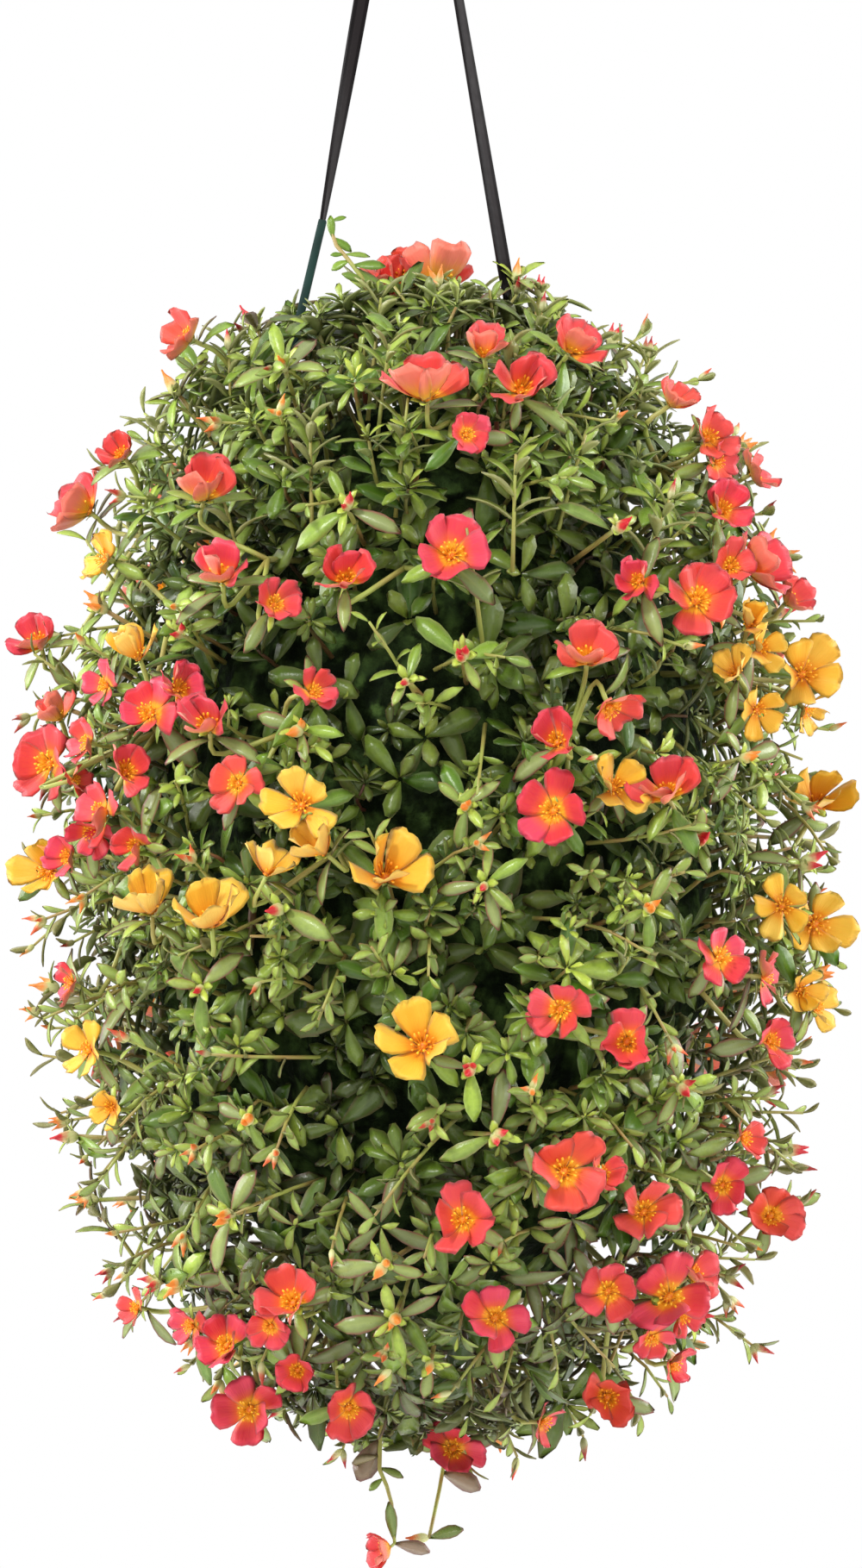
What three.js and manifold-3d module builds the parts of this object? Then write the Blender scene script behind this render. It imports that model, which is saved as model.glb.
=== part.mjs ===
// A moss rose in full bloom, grown as a ball round a hanging pot.
// Millimetres, +Z up. The origin is where the hanger's hook rests on what carries it, and the
// plant's front looks along -Y. Heights of the plant and the pot are counted from the pot's rim.
import * as THREE from "three";
import { mergeVertices } from "three/addons/utils/BufferGeometryUtils.js";
import Module from "manifold-3d";

const wasm = await Module();
wasm.setup();

// Driving dimensions
const RIM_DROP = 568;
const CLEARANCE = 0.3;
const POT = { rim: 108, base: 80, height: 176, wall: 2.2, flange: 4, flangeHeight: 9, foot: 4 };
const DRAINS = { count: 6, radius: 4, ring: 45 };
const SOIL_LEVEL = -12;
const SOIL_MOUND = 5;
const ROOT_END = -60;
const HOOK = { inner: 13, wire: 2.4, hubTop: 34, hub: [26, 13, 16], from: -28, to: 196, step: 28 };
const STRAP = { width: 7.7, thickness: 1.6, overlap: 13, seat: 6, apart: 3.6, steps: 14 };
const ARM = { width: 11, depth: 4, wall: 1.4, foot: 24, seat: 7, rimOut: 115 };
const LUG = { width: 18, reach: 11, height: 12, bite: 2 };
const STEM_RADIUS = 2.1;
const SHOOT_RADIUS = 1.2;
const PEDICEL_RADIUS = 1;
const STALK_RADIUS = 1.5;

// Each side's arm leans in to its top, and its strap turns from edge-on in the arm's channel:
// [share of the strap's length, degrees]
const SIDES = [
  { name: "left", side: -1, top: 299, topOut: 44, turns: [[0, 90], [0.08, 76], [0.56, 12], [1, 0]] },
  { name: "right", side: 1, top: 222, topOut: 55, turns: [[0, 90], [0.2, 38], [0.67, 62], [1, 62]] },
];

// The plant's outer form, a ball drawn out downwards, a little to one side of the pot's axis
const BUSH = { radius: 190, halfHeight: 285, middle: -20, bulge: 2.5, side: 10 };
const CORE_INSET = 31;
const CORE_RELIEF = 11;
const CORE_RINGS = 8;
const CORE_SIDES = 14;
const POT_SIDES = 24;

// A spray's stalk leaves the inner mass towards a fork below its blooms. It points at a height
// on the bush's axis that stays inside the inner mass.
const STALK = { length: 44, forkDepth: 18, lowest: -137, highest: 148 };

// Whorls of leaves: how far inside the ball's skin they stand, their spread, how many places are
// tried, and at each place the [share of the spread, extra turn in degrees] tried in order
const WHORL = { inset: 14, spread: 46, blades: 5, places: 100 };
const WHORL_TRIES = [[1, 0], [1, 25], [0.84, 10], [0.84, 38], [0.68, 0], [0.68, 30]];
const GOLDEN_ANGLE = 137.508;

// How far from a whorl's axis its stalk ends, as a share of the spread
const BLOOM_SEAT = 0.2;
const LEAF_SEAT = 0.09;

const GREEN = { leaf: "#4d6b35", young: "#6c8a3c", trailing: "#566a41" };
const CORAL = "#ef4f4e";
const YELLOW = "#f8b42b";
const PLASTIC = "#1d2b2b";
const STRAP_GREY = "#453f41";
const SOIL_BROWN = "#3a2a1f";

const radians = THREE.MathUtils.degToRad;

function bareOf(geometry) {
  const bare = geometry.clone();
  bare.deleteAttribute("normal");
  bare.deleteAttribute("uv");
  return bare;
}

// A closed geometry as a solid, and a solid as a geometry
function solid(geometry) {
  const merged = mergeVertices(bareOf(geometry), 1e-4);
  const corners = new Uint32Array(merged.index.array);
  const places = new Float32Array(merged.attributes.position.array);
  let made = fromArrays(places, corners);
  if (made.volume() < 0) {
    for (let i = 0; i < corners.length; i += 3) {
      [corners[i + 1], corners[i + 2]] = [corners[i + 2], corners[i + 1]];
    }
    made = fromArrays(places, corners);
  }
  return made;
}

function fromArrays(vertProperties, triVerts) {
  return new wasm.Manifold(new wasm.Mesh({ numProp: 3, vertProperties, triVerts }));
}

function geometryOf(body) {
  const mesh = body.getMesh();
  const geometry = new THREE.BufferGeometry();
  geometry.setAttribute("position", new THREE.BufferAttribute(mesh.vertProperties, 3));
  geometry.setIndex(new THREE.BufferAttribute(mesh.triVerts, 1));
  geometry.computeVertexNormals();
  return geometry;
}

function joined(bodies) {
  return bodies.reduce((whole, body) => whole.add(body));
}

// The largest piece of a solid: loose scrap left by a cut is dropped
function largest(body) {
  const pieces = body.decompose().sort((a, b) => b.volume() - a.volume());
  return pieces[0];
}

// Draws between 0 and 1 that are the same on every run
function seededDraws(seed) {
  let state = seed;
  return () => {
    state = (state * 16807) % 2147483647;
    return state / 2147483647;
  };
}

// A point at a height above the rim, a radius from the pot's axis and an azimuth in degrees,
// which is 0 at the front and grows towards +X
function around(azimuth, radius, height) {
  const turn = radians(azimuth);
  return new THREE.Vector3(radius * Math.sin(turn), -radius * Math.cos(turn), height - RIM_DROP);
}

// A direction from an azimuth and an elevation in degrees
function heading(azimuth, elevation) {
  const rise = radians(elevation);
  const turn = radians(azimuth);
  return new THREE.Vector3(
    Math.sin(turn) * Math.cos(rise),
    -Math.cos(turn) * Math.cos(rise),
    Math.sin(rise),
  );
}

function bushRadius(height) {
  const share = Math.abs(height - BUSH.middle) / BUSH.halfHeight;
  if (share >= 1) return 0;
  return BUSH.radius * (1 - share ** BUSH.bulge) ** (1 / BUSH.bulge);
}

// A bloom's middle: across and height as seen from the front, on the bush's skin or lifted off it
function frontPlace(across, height, lift) {
  const radius = Math.max(bushRadius(height) + lift, 0);
  const depth = Math.sqrt(Math.max(radius * radius - across * across, 0));
  return new THREE.Vector3(across + BUSH.side, -depth, height - RIM_DROP);
}

function shellPlace(azimuth, height, lift) {
  const point = around(azimuth, bushRadius(height) + lift, height);
  point.x += BUSH.side;
  return point;
}

function tube(points, radius, sides, steps) {
  const path = new THREE.CatmullRomCurve3(points);
  const section = new THREE.Shape();
  for (let i = 0; i < sides; i++) {
    const turn = (2 * Math.PI * i) / sides;
    const x = radius * Math.cos(turn);
    const y = radius * Math.sin(turn);
    if (i === 0) section.moveTo(x, y);
    else section.lineTo(x, y);
  }
  const geometry = new THREE.ExtrudeGeometry(section, { steps, extrudePath: path });
  return solid(geometry);
}

function turned(profile, segments) {
  const geometry = new THREE.LatheGeometry(
    profile.map(([radius, height]) => new THREE.Vector2(radius, height)),
    segments,
  );
  geometry.rotateX(Math.PI / 2);
  return geometry;
}

// A whorl of blades in one thin star: a two-row sphere whose equator takes the blades' outline.
// Each outline point is [share of the blade's pitch, distance out, height], for a spread of 1.
function whorl({ blades, outline, crown, keel, wobble, draw }) {
  const across = blades * outline.length;
  const geometry = new THREE.SphereGeometry(1, across, 2);
  const places = geometry.attributes.position;
  const reach = Array.from({ length: blades }, () => 1 - wobble * draw());
  const rise = Array.from({ length: blades }, () => wobble * (draw() - 0.5));
  for (let i = 0; i < places.count; i++) {
    const row = places.getY(i);
    if (Math.abs(row) > 0.5) {
      places.setXYZ(i, 0, 0, row > 0 ? crown : -keel);
      continue;
    }
    const column = (i - across - 1) % across;
    const blade = Math.floor(column / outline.length);
    const [share, out, height] = outline[column % outline.length];
    const turn = ((blade + share) * 2 * Math.PI) / blades;
    const distance = share < -0.4 ? out : out * reach[blade];
    places.setXYZ(i, distance * Math.cos(turn), distance * Math.sin(turn), height + rise[blade] * out);
  }
  return geometry;
}

const LEAF_OUTLINE = [
  [-0.5, 0.16, 0.02],
  [-0.22, 0.74, 0.18],
  [0.13, 1, 0.16],
];
const CORAL_OUTLINE = [
  [-0.5, 0.52, 0.12],
  [-0.25, 0.98, 0.32],
  [0.25, 0.98, 0.32],
];
const YELLOW_OUTLINE = [
  [-0.5, 0.4, 0.08],
  [-0.22, 0.98, 0.26],
  [0.2, 0.98, 0.3],
];

function aimed(geometry, spread, place, facing, spin) {
  const turn = new THREE.Quaternion().setFromUnitVectors(new THREE.Vector3(0, 0, 1), facing);
  const roll = new THREE.Quaternion().setFromAxisAngle(new THREE.Vector3(0, 0, 1), radians(spin));
  const size = new THREE.Vector3(spread, spread, spread);
  return geometry.applyMatrix4(new THREE.Matrix4().compose(place, turn.multiply(roll), size));
}

// Blooms as seen from the front: [across, height, width, facing azimuth, facing elevation, lift]
// in millimetres and degrees. The blooms of one row share one stalk.
const CORAL_SPRAYS = [
  [[-22, 266, 32, -60, 50, 4], [4, 268, 42, 150, 62, 6]],
  [[-120, 238, 30, -75, 30, 24]],
  [[69, 230, 30, 50, 45, 6], [44, 209, 34, 5, 48, 2]],
  [[-2, 206, 40, -30, 62, 4], [17, 186, 24, 30, -10, 4], [26, 227, 28, 20, 70, 4]],
  [[-172, 155, 36, -62, 28, 4], [-152, 180, 24, -30, 40, 6], [-198, 88, 30, -55, 34, 4]],
  [[-110, 158, 34, -15, 55, 4], [-101, 118, 34, -25, 50, 2], [-75, 104, 26, 30, 35, 2]],
  [[-41, 116, 30, 5, 45, 2], [10, 128, 38, 4, 8, 2]],
  [[118, 204, 24, 60, 40, 8], [136, 188, 28, 40, 30, 4], [160, 172, 26, 70, 30, 4],
    [142, 152, 28, 30, 20, 0]],
  [[129, 107, 40, 12, 4, 4], [100, 116, 26, -20, 20, 0], [157, 123, 38, 62, 26, 4],
    [176, 108, 26, 80, 20, 6]],
  [[75, 78, 34, 0, 40, 0], [86, 54, 34, 30, -35, 4], [60, 38, 32, -20, 22, 4], [58, 5, 36, -14, 12, 2],
    [114, 13, 34, -15, 30, 2]],
  [[-56, 62, 26, 45, 10, 2], [-93, 18, 30, -35, 14, 2], [-107, 46, 34, -20, 58, 4]],
  [[-136, 52, 34, -20, 12, 6], [-159, 66, 24, -50, 20, 2], [-168, 38, 26, -40, 10, 2],
    [-189, 28, 40, -28, 2, 6]],
  [[-160, 4, 34, -60, 4, 2], [-143, -12, 26, -30, 0, 2], [-178, -18, 26, -60, 0, 2],
    [-177, -80, 26, -70, 4, 2]],
  [[140, -66, 32, 20, 22, 2], [163, -76, 28, 70, 6, 4], [166, -108, 28, 40, 4, 2]],
  [[62, -90, 34, -4, 4, 2], [94, -106, 36, 6, 2, 4]],
  [[64, -168, 42, 6, 4, 4], [15, -191, 38, -4, 8, 2]],
  [[153, -155, 26, 60, 10, 2], [142, -178, 28, 10, 2, 2], [168, -196, 34, 24, 0, 8]],
  [[103, -189, 36, 8, 2, 2], [86, -228, 32, 4, 4, 0], [116, -232, 42, 10, 2, 8],
    [120, -268, 26, 60, 0, 14], [87, -284, 36, 8, -4, 12]],
  [[-67, -233, 36, -8, 20, 2], [-65, -268, 26, 0, 4, 2], [-40, -288, 32, 4, -14, 4]],
  [[-100, -256, 32, -16, 10, 8], [-90, -292, 36, -12, -8, 18], [-146, -241, 20, -60, 10, 10]],
  [[31, -240, 34, 0, 6, 2], [11, -314, 34, 0, -8, 8], [56, -298, 26, 60, -10, 8]],
];
const YELLOW_SPRAYS = [
  [[-160, 128, 28, -50, 10, 6], [-142, 80, 28, -30, 50, 6]],
  [[-62, 8, 34, -6, 24, 4], [-22, -26, 40, -4, 22, 4], [-78, -24, 28, 50, 55, 2]],
  [[88, 16, 32, 12, 6, -8]],
  [[-4, -107, 42, 0, 14, 4]],
  [[-196, -26, 36, -24, 2, 6], [-135, -42, 34, -30, 60, 8], [-105, -48, 38, 10, 66, 6]],
  [[161, 84, 26, 30, 24, 2], [183, 72, 38, 24, 8, 8], [159, 54, 26, 30, 0, 2]],
  [[194, 8, 38, 24, 26, 4], [172, -42, 30, 10, 0, 2], [196, -52, 38, 14, 2, 8],
    [190, -92, 26, 60, 0, 8]],
  [[-168, -112, 28, -50, 4, 4], [-156, -140, 22, -40, 0, 2]],
];

// The far side's sprays: azimuth and height of the middle bloom and colour. The others of the
// spray stand in a ring about it.
const FAR_SPRAYS = [
  [135, 118, CORAL],
  [218, 140, CORAL],
  [178, 0, YELLOW],
  [134, -120, CORAL],
  [222, -130, CORAL],
];
const FAR_RING = { blooms: 5, radius: 58, near: 0.72, turn: 37, width: 38, lift: 4 };

function farSpray([azimuth, height], index) {
  const blooms = [];
  for (let i = 0; i <= FAR_RING.blooms; i++) {
    const turn = radians((360 / FAR_RING.blooms) * i + FAR_RING.turn * index);
    const out = i === FAR_RING.blooms ? 0 : FAR_RING.radius * (i % 2 ? 1 : FAR_RING.near);
    const up = height + out * Math.sin(turn);
    const along = (out * Math.cos(turn)) / bushRadius(up);
    const side = azimuth + THREE.MathUtils.radToDeg(along);
    blooms.push({
      place: shellPlace(side, up, FAR_RING.lift),
      width: FAR_RING.width,
      facing: heading(side, 12 + 0.14 * up),
    });
  }
  return blooms;
}

function frontSpray(rows) {
  return rows.map(([across, height, width, azimuth, elevation, lift]) => ({
    place: frontPlace(across, height, lift),
    width,
    facing: heading(azimuth, elevation),
  }));
}

// A spray: blooms of one colour on pedicels that leave one short stalk. The stalk's root stands
// in a plain hole in the bush's inner mass. A spray with a root given has no stalk: its pedicels
// leave that point.
function spray(name, colour, blooms, index, root) {
  const draw = seededDraws(101 + 7 * index);
  const middle = new THREE.Vector3();
  blooms.forEach((bloom) => middle.add(bloom.place));
  middle.divideScalar(blooms.length);
  const aim = THREE.MathUtils.clamp(middle.z + RIM_DROP, STALK.lowest, STALK.highest);
  const inward = new THREE.Vector3(BUSH.side, 0, aim - RIM_DROP).sub(middle).normalize();
  const fork = root ?? middle.clone().addScaledVector(inward, STALK.forkDepth);
  const stalk = [fork.clone().addScaledVector(inward, STALK.length), fork];
  const parts = root ? [] : [tube(stalk, STALK_RADIUS, 3, 1)];
  const outline = colour === CORAL ? CORAL_OUTLINE : YELLOW_OUTLINE;
  const start = fork.clone().addScaledVector(inward, root ? 0 : PEDICEL_RADIUS * 2);
  for (const { place, width, facing } of blooms) {
    const spread = width / 2;
    const spin = 72 * draw();
    const shape = whorl({ blades: 5, outline, crown: 0.16, keel: 0.22, wobble: 0.1, draw });
    const end = besideMiddle(spread, place, facing, spin, BLOOM_SEAT);
    parts.push(solid(aimed(shape, spread, place, facing, spin)));
    parts.push(tube([start, end], PEDICEL_RADIUS, 3, 1));
  }
  const hole = tube(stalk, STALK_RADIUS + 2 * CLEARANCE, 3, 1);
  return { name, colour, parts, hole };
}

// A point inside a whorl's thick middle, a little off its axis, where its stalk ends
function besideMiddle(spread, place, facing, spin, share) {
  const dot = new THREE.BufferGeometry().setFromPoints([new THREE.Vector3(share, 0, 0)]);
  aimed(dot, spread, place, facing, spin);
  return new THREE.Vector3().fromBufferAttribute(dot.attributes.position, 0);
}

function allSprays() {
  const sprays = [];
  const add = (colour, blooms, root) => {
    const kind = colour === CORAL ? "coral" : "yellow";
    const number = String(sprays.filter((one) => one.colour === colour).length + 1);
    const name = `${kind}_spray_${number.padStart(2, "0")}`;
    sprays.push(spray(name, colour, blooms, sprays.length, root));
  };
  CORAL_SPRAYS.forEach((rows) => add(CORAL, frontSpray(rows)));
  YELLOW_SPRAYS.forEach((rows) => add(YELLOW, frontSpray(rows)));
  FAR_SPRAYS.forEach((row, index) => add(row[2], farSpray(row, index)));
  const [x, y, height] = LAST_BLOOM.place;
  const place = new THREE.Vector3(x + BUSH.side, y, height - RIM_DROP);
  const root = new THREE.Vector3(...LAST_BLOOM.root);
  root.add(new THREE.Vector3(BUSH.side, 0, -RIM_DROP));
  add(CORAL, [{ place, width: LAST_BLOOM.width, facing: heading(-50, -30) }], root);
  return sprays;
}

// The tiers of leafy stems. Each stem's path and each tier's room are [radius, height] points.
// A stem rises straight out of its root hole, and a low tier's stems bend over the pot's rim.
const RIM = POT.rim;
const BASE = POT.base;
const OUTSIDE = 400;
const CROWN_FROM = 90;
const BELT_FROM = -40;
const SKIRT_FROM = -178;
const STEM_TOP = 20;
const TIERS = [
  {
    name: "crown_stems",
    count: 4,
    first: 45,
    path: [[38, ROOT_END], [38, -14], [38, 0], [44, 40], [54, 90]],
    room: [
      [0, STEM_TOP], [60, STEM_TOP], [60, CROWN_FROM], [OUTSIDE, CROWN_FROM], [OUTSIDE, OUTSIDE],
      [0, OUTSIDE],
    ],
    colour: GREEN.leaf,
  },
  {
    name: "belt_stems",
    count: 5,
    first: 0,
    path: [[72, ROOT_END], [72, -14], [72, -2], [84, 16], [114, 42]],
    room: [
      [62, STEM_TOP], [RIM + 25, STEM_TOP], [RIM + 25, BELT_FROM], [OUTSIDE, BELT_FROM],
      [OUTSIDE, CROWN_FROM - CLEARANCE], [62, CROWN_FROM - CLEARANCE], [62, STEM_TOP],
    ],
    colour: GREEN.leaf,
  },
  {
    name: "skirt_stems",
    count: 5,
    first: 36,
    path: [
      [RIM - 20, ROOT_END], [RIM - 20, -14], [RIM - 20, -3], [RIM - 9, 6], [RIM + 5, 7],
      [RIM + 16, -4], [RIM + 20, -25], [RIM + 25, -62],
    ],
    room: [
      [RIM + 10, BELT_FROM - CLEARANCE], [OUTSIDE, BELT_FROM - CLEARANCE], [OUTSIDE, SKIRT_FROM],
      [BASE + 18, SKIRT_FROM], [RIM + 10, BELT_FROM - CLEARANCE],
    ],
    colour: GREEN.young,
  },
  {
    name: "trailing_stems",
    count: 4,
    first: 45,
    path: [
      [RIM - 18, ROOT_END], [RIM - 18, -14], [RIM - 18, -3], [RIM - 9, 7], [RIM + 4, 8],
      [RIM + 13, -3], [RIM + 12, -18], [RIM + 3, -42], [RIM - 7, -80], [RIM - 15, -130],
      [BASE + 9, -172], [BASE, -200],
    ],
    room: [
      [0, SKIRT_FROM - CLEARANCE], [OUTSIDE, SKIRT_FROM - CLEARANCE], [OUTSIDE, -OUTSIDE],
      [0, -OUTSIDE],
    ],
    colour: GREEN.trailing,
  },
];

// Single shoots that leave the ball: the node that each one belongs to, its path's points
// [across, depth, height], and its whorls [across, depth, height, spread]
const LONE_SHOOTS = [
  {
    node: "crown_stems_4",
    path: [[-18, -12, 206], [-28, -24, 256], [-38, -24, 274], [-48, -18, 287], [-50, -14, 299]],
    whorls: [[-44, -20, 283, 15], [-50, -14, 299, 11]],
  },
  {
    node: "trailing_stems_4",
    path: [[-14, -12, -248], [-26, -30, -312], [-20, -34, -335], [-18, -36, -358]],
    whorls: [[-18, -36, -356, 16]],
  },
  {
    node: "trailing_stems_1",
    path: [[12, -12, -248], [5, -30, -318], [2, -34, -341], [-1, -36, -356]],
    whorls: [[0, -36, -353, 15]],
  },
];

// The lowest bloom hangs beside a trailing shoot's tip
const LAST_BLOOM = { place: [-27, -40, -366], root: [-20.4, -36, -357.6], width: 20 };

function leafWhorl(place, facing, spread, spin, draw) {
  const form = { blades: WHORL.blades, outline: LEAF_OUTLINE, crown: 0.07, keel: 0.05, wobble: 0.24 };
  return solid(aimed(whorl({ ...form, draw }), spread, place, facing, spin));
}

function stemSolid(tier, azimuth, radius) {
  const points = tier.path.map(([out, height]) => around(azimuth, out, height));
  return tube(points, radius, 4, Math.round(tier.path.length * 1.5));
}

function rootHole(tier, azimuth) {
  const out = tier.path[0][0];
  const points = [around(azimuth, out, ROOT_END - CLEARANCE), around(azimuth, out, 0)];
  return tube(points, STEM_RADIUS + 2 * CLEARANCE, 4, 1);
}

// A point of the ball's profile at an angle from its top, as shares of its radius and height
function ballPoint(angle) {
  const power = 2 / BUSH.bulge;
  return {
    out: Math.sin(angle) ** power,
    rise: Math.sign(Math.cos(angle)) * Math.abs(Math.cos(angle)) ** power,
  };
}

// The inner mass of the bush, from which the whorls stand out: the ball's form made smaller
function innerBall() {
  const profile = [];
  for (let ring = 0; ring <= CORE_RINGS; ring++) {
    const { out, rise } = ballPoint(Math.PI * (1 - ring / CORE_RINGS));
    profile.push([
      ring % CORE_RINGS ? (BUSH.radius - CORE_INSET) * out : 0,
      BUSH.middle + (BUSH.halfHeight - CORE_INSET) * rise,
    ]);
  }
  const rough = mergeVertices(bareOf(turned(profile, CORE_SIDES)), 1e-4);
  const places = rough.attributes.position;
  const draw = seededDraws(11);
  for (let i = 0; i < places.count; i++) {
    const share = 1 - (CORE_RELIEF * draw()) / BUSH.radius;
    places.setX(i, places.getX(i) * share);
    places.setY(i, places.getY(i) * share);
  }
  rough.translate(BUSH.side, 0, -RIM_DROP);
  return solid(rough);
}

// The room about one azimuth of a tier's ring, with a little gap to the rooms beside it
function wedge(azimuth, spread) {
  const half = radians(spread / 2);
  const back = CLEARANCE / Math.sin(half);
  const side = OUTSIDE * Math.tan(half);
  const shape = new THREE.Shape([
    new THREE.Vector2(0, back),
    new THREE.Vector2(side, back + OUTSIDE),
    new THREE.Vector2(-side, back + OUTSIDE),
  ]);
  const geometry = new THREE.ExtrudeGeometry(shape, { depth: 2 * OUTSIDE, bevelEnabled: false });
  geometry.translate(0, 0, -OUTSIDE - RIM_DROP);
  geometry.rotateZ(Math.PI + radians(azimuth));
  return solid(geometry);
}

function touches(body, others) {
  const box = body.boundingBox();
  return others.some((other) => {
    const near = other.boundingBox();
    const apart = [0, 1, 2].some((i) => box.min[i] > near.max[i] || box.max[i] < near.min[i]);
    return !apart && !body.intersect(other).isEmpty();
  });
}

// The leafy stems: in each tier a ring of nodes, each one a rooted stem, a piece of the inner mass
// and the whorls of leaves on its side
function leafyStems(sprays, hanger) {
  const ball = innerBall();
  const nodes = [];
  for (const tier of TIERS) {
    const roomGeometry = turned(tier.room, CORE_SIDES);
    roomGeometry.translate(0, 0, -RIM_DROP);
    const slab = ball.intersect(solid(roomGeometry));
    for (let part = 0; part < tier.count; part++) {
      const azimuth = tier.first + (360 / tier.count) * part;
      nodes.push({
        tier,
        part,
        azimuth,
        name: `${tier.name}_${part + 1}`,
        colour: tier.colour,
        core: slab.intersect(wedge(azimuth, 360 / tier.count)),
        stem: stemSolid(tier, azimuth, STEM_RADIUS),
        room: stemSolid(tier, azimuth, STEM_RADIUS + 2 * CLEARANCE),
        rootHole: rootHole(tier, azimuth),
        parts: [],
      });
    }
  }
  const openings = [...sprays.map((one) => one.hole), ...hanger.map((one) => one.room)];
  for (const node of nodes) {
    const others = nodes.filter((other) => other !== node).map((other) => other.room);
    for (const cut of [...openings, ...others]) {
      if (touches(node.core, [cut])) node.core = node.core.subtract(cut);
    }
    node.core = largest(node.core);
  }
  addLoneShoots(nodes);
  addWhorls(nodes, sprays, hanger);
  return nodes;
}

function addLoneShoots(nodes) {
  const draw = seededDraws(31);
  for (const { node: name, path, whorls } of LONE_SHOOTS) {
    const node = nodes.find((one) => one.name === name);
    const points = path.map(
      ([x, y, height]) => new THREE.Vector3(x + BUSH.side, y, height - RIM_DROP),
    );
    node.parts.push(tube(points, SHOOT_RADIUS, 4, 6));
    for (const [x, y, height, spread] of whorls) {
      const place = new THREE.Vector3(x + BUSH.side, y, height - RIM_DROP);
      node.parts.push(leafWhorl(place, heading(20, 30), spread, 40, draw));
    }
  }
}

// Whorls stand on the ball at even steps of the golden angle. One that would cross what stands
// there already is turned, then made smaller, and at last left out.
function addWhorls(nodes, sprays, hanger) {
  const draw = seededDraws(7);
  const placed = [...sprays.flatMap((one) => one.parts), ...hanger.map((one) => one.room)];
  nodes.forEach((node) => placed.push(...node.parts, node.stem));
  for (let i = 0; i < WHORL.places; i++) {
    const { out, rise } = ballPoint(Math.acos(1 - (2 * (i + 0.5)) / WHORL.places));
    const height = BUSH.middle + (BUSH.halfHeight - WHORL.inset) * rise;
    const azimuth = (i * GOLDEN_ANGLE) % 360;
    const place = around(azimuth, (BUSH.radius - WHORL.inset) * out, height);
    place.x += BUSH.side;
    const elevation = THREE.MathUtils.radToDeg(Math.atan2(rise * 0.8 + 0.12, out));
    const facing = heading(azimuth, elevation);
    const base = place.clone().addScaledVector(facing, WHORL.inset - CORE_INSET - 9);
    const spin = 60 * draw();
    for (const [share, extra] of WHORL_TRIES) {
      const spread = WHORL.spread * share;
      const leaves = leafWhorl(place, facing, spread, spin + extra, draw);
      const end = besideMiddle(spread, place, facing, spin + extra, LEAF_SEAT);
      const shoot = tube([base, end], SHOOT_RADIUS, 3, 1);
      const owner = nodes.find((node) => !shoot.intersect(node.core).isEmpty());
      if (!owner) break;
      const strangers = nodes.filter((node) => node !== owner).map((node) => node.core);
      const obstacles = [...placed, ...strangers];
      if (touches(leaves, obstacles) || touches(shoot, obstacles)) continue;
      owner.parts.push(leaves, shoot);
      placed.push(leaves, shoot);
      break;
    }
  }
}

// The pot: one turned shell with a flange round its rim, two lugs for the hanger and six drains
function potSolid(arms) {
  const { rim, base, height, wall, flange, flangeHeight, foot } = POT;
  const shell = turned(
    [
      [0, -height + foot],
      [base - 10, -height + foot],
      [base - 7, -height],
      [base, -height],
      [rim - 2, -flangeHeight],
      [rim + flange, -flangeHeight],
      [rim + flange, 0],
      [rim - wall, 0],
      [rim - wall - 2, -flangeHeight - 3],
      [base - wall, -height + foot + wall],
      [0, -height + foot + wall],
    ],
    POT_SIDES,
  );
  let pot = solid(shell);
  for (const side of [-1, 1]) {
    const lug = new THREE.BoxGeometry(LUG.reach, LUG.width, LUG.height);
    lug.translate(side * (rim + flange + LUG.reach / 2 - LUG.bite), 0, -LUG.height / 2);
    pot = pot.add(solid(lug));
  }
  for (let i = 0; i < DRAINS.count; i++) {
    const drain = new THREE.CylinderGeometry(DRAINS.radius, DRAINS.radius, 20, 6);
    drain.rotateX(Math.PI / 2);
    drain.translate(DRAINS.ring, 0, -height + foot);
    drain.rotateZ(radians((360 / DRAINS.count) * i));
    pot = pot.subtract(solid(drain));
  }
  pot = pot.translate([0, 0, -RIM_DROP]);
  arms.forEach((arm) => {
    pot = pot.subtract(arm.footRoom);
  });
  return pot;
}

function soilSolid(nodes) {
  const { rim, base, height, wall, foot } = POT;
  const gap = wall + CLEARANCE;
  const top = rim - gap - 2 - 1;
  const bottom = base - gap;
  const floor = -height + foot + wall + CLEARANCE;
  const geometry = turned(
    [
      [0, floor],
      [bottom, floor],
      [top, SOIL_LEVEL - 4],
      [top - 12, SOIL_LEVEL],
      [0, SOIL_LEVEL + SOIL_MOUND],
    ],
    POT_SIDES,
  );
  geometry.translate(0, 0, -RIM_DROP);
  return nodes.reduce((soil, node) => soil.subtract(node.rootHole), solid(geometry));
}

// A point on the middle line of one side's arm
function armLine({ side, top, topOut }, height) {
  const out = ARM.rimOut + ((topOut - ARM.rimOut) * height) / top;
  return new THREE.Vector3(side * out, 0, height - RIM_DROP);
}

// One arm leans in from its lug: a channel, open towards the pot's axis, on a solid foot
function arm(one) {
  const along = armLine(one, one.top).sub(armLine(one, 0)).normalize();
  const across = new THREE.Vector3(0, 1, 0);
  const frame = new THREE.Matrix4();
  frame.makeBasis(new THREE.Vector3().crossVectors(across, along), across, along);
  frame.setPosition(armLine(one, 0));
  const length = armLine(one, one.top).distanceTo(armLine(one, 0));
  const box = (depth, width, from, to, out = 0) => {
    const geometry = new THREE.BoxGeometry(depth, width, to - from);
    geometry.translate(out, 0, (from + to) / 2);
    return solid(geometry.applyMatrix4(frame));
  };
  const { width, depth, wall, foot, seat } = ARM;
  const spare = 2 * CLEARANCE;
  const hollow = box(depth, width - 2 * wall, foot, length + 1, -one.side * wall);
  return {
    name: `arm_${one.name}`,
    body: box(depth, width, -seat, length).subtract(hollow),
    room: box(depth + 2, width + 2, -seat - 2, length + 1),
    footRoom: box(depth + spare, width + spare, -seat - CLEARANCE, LUG.height),
  };
}

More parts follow.
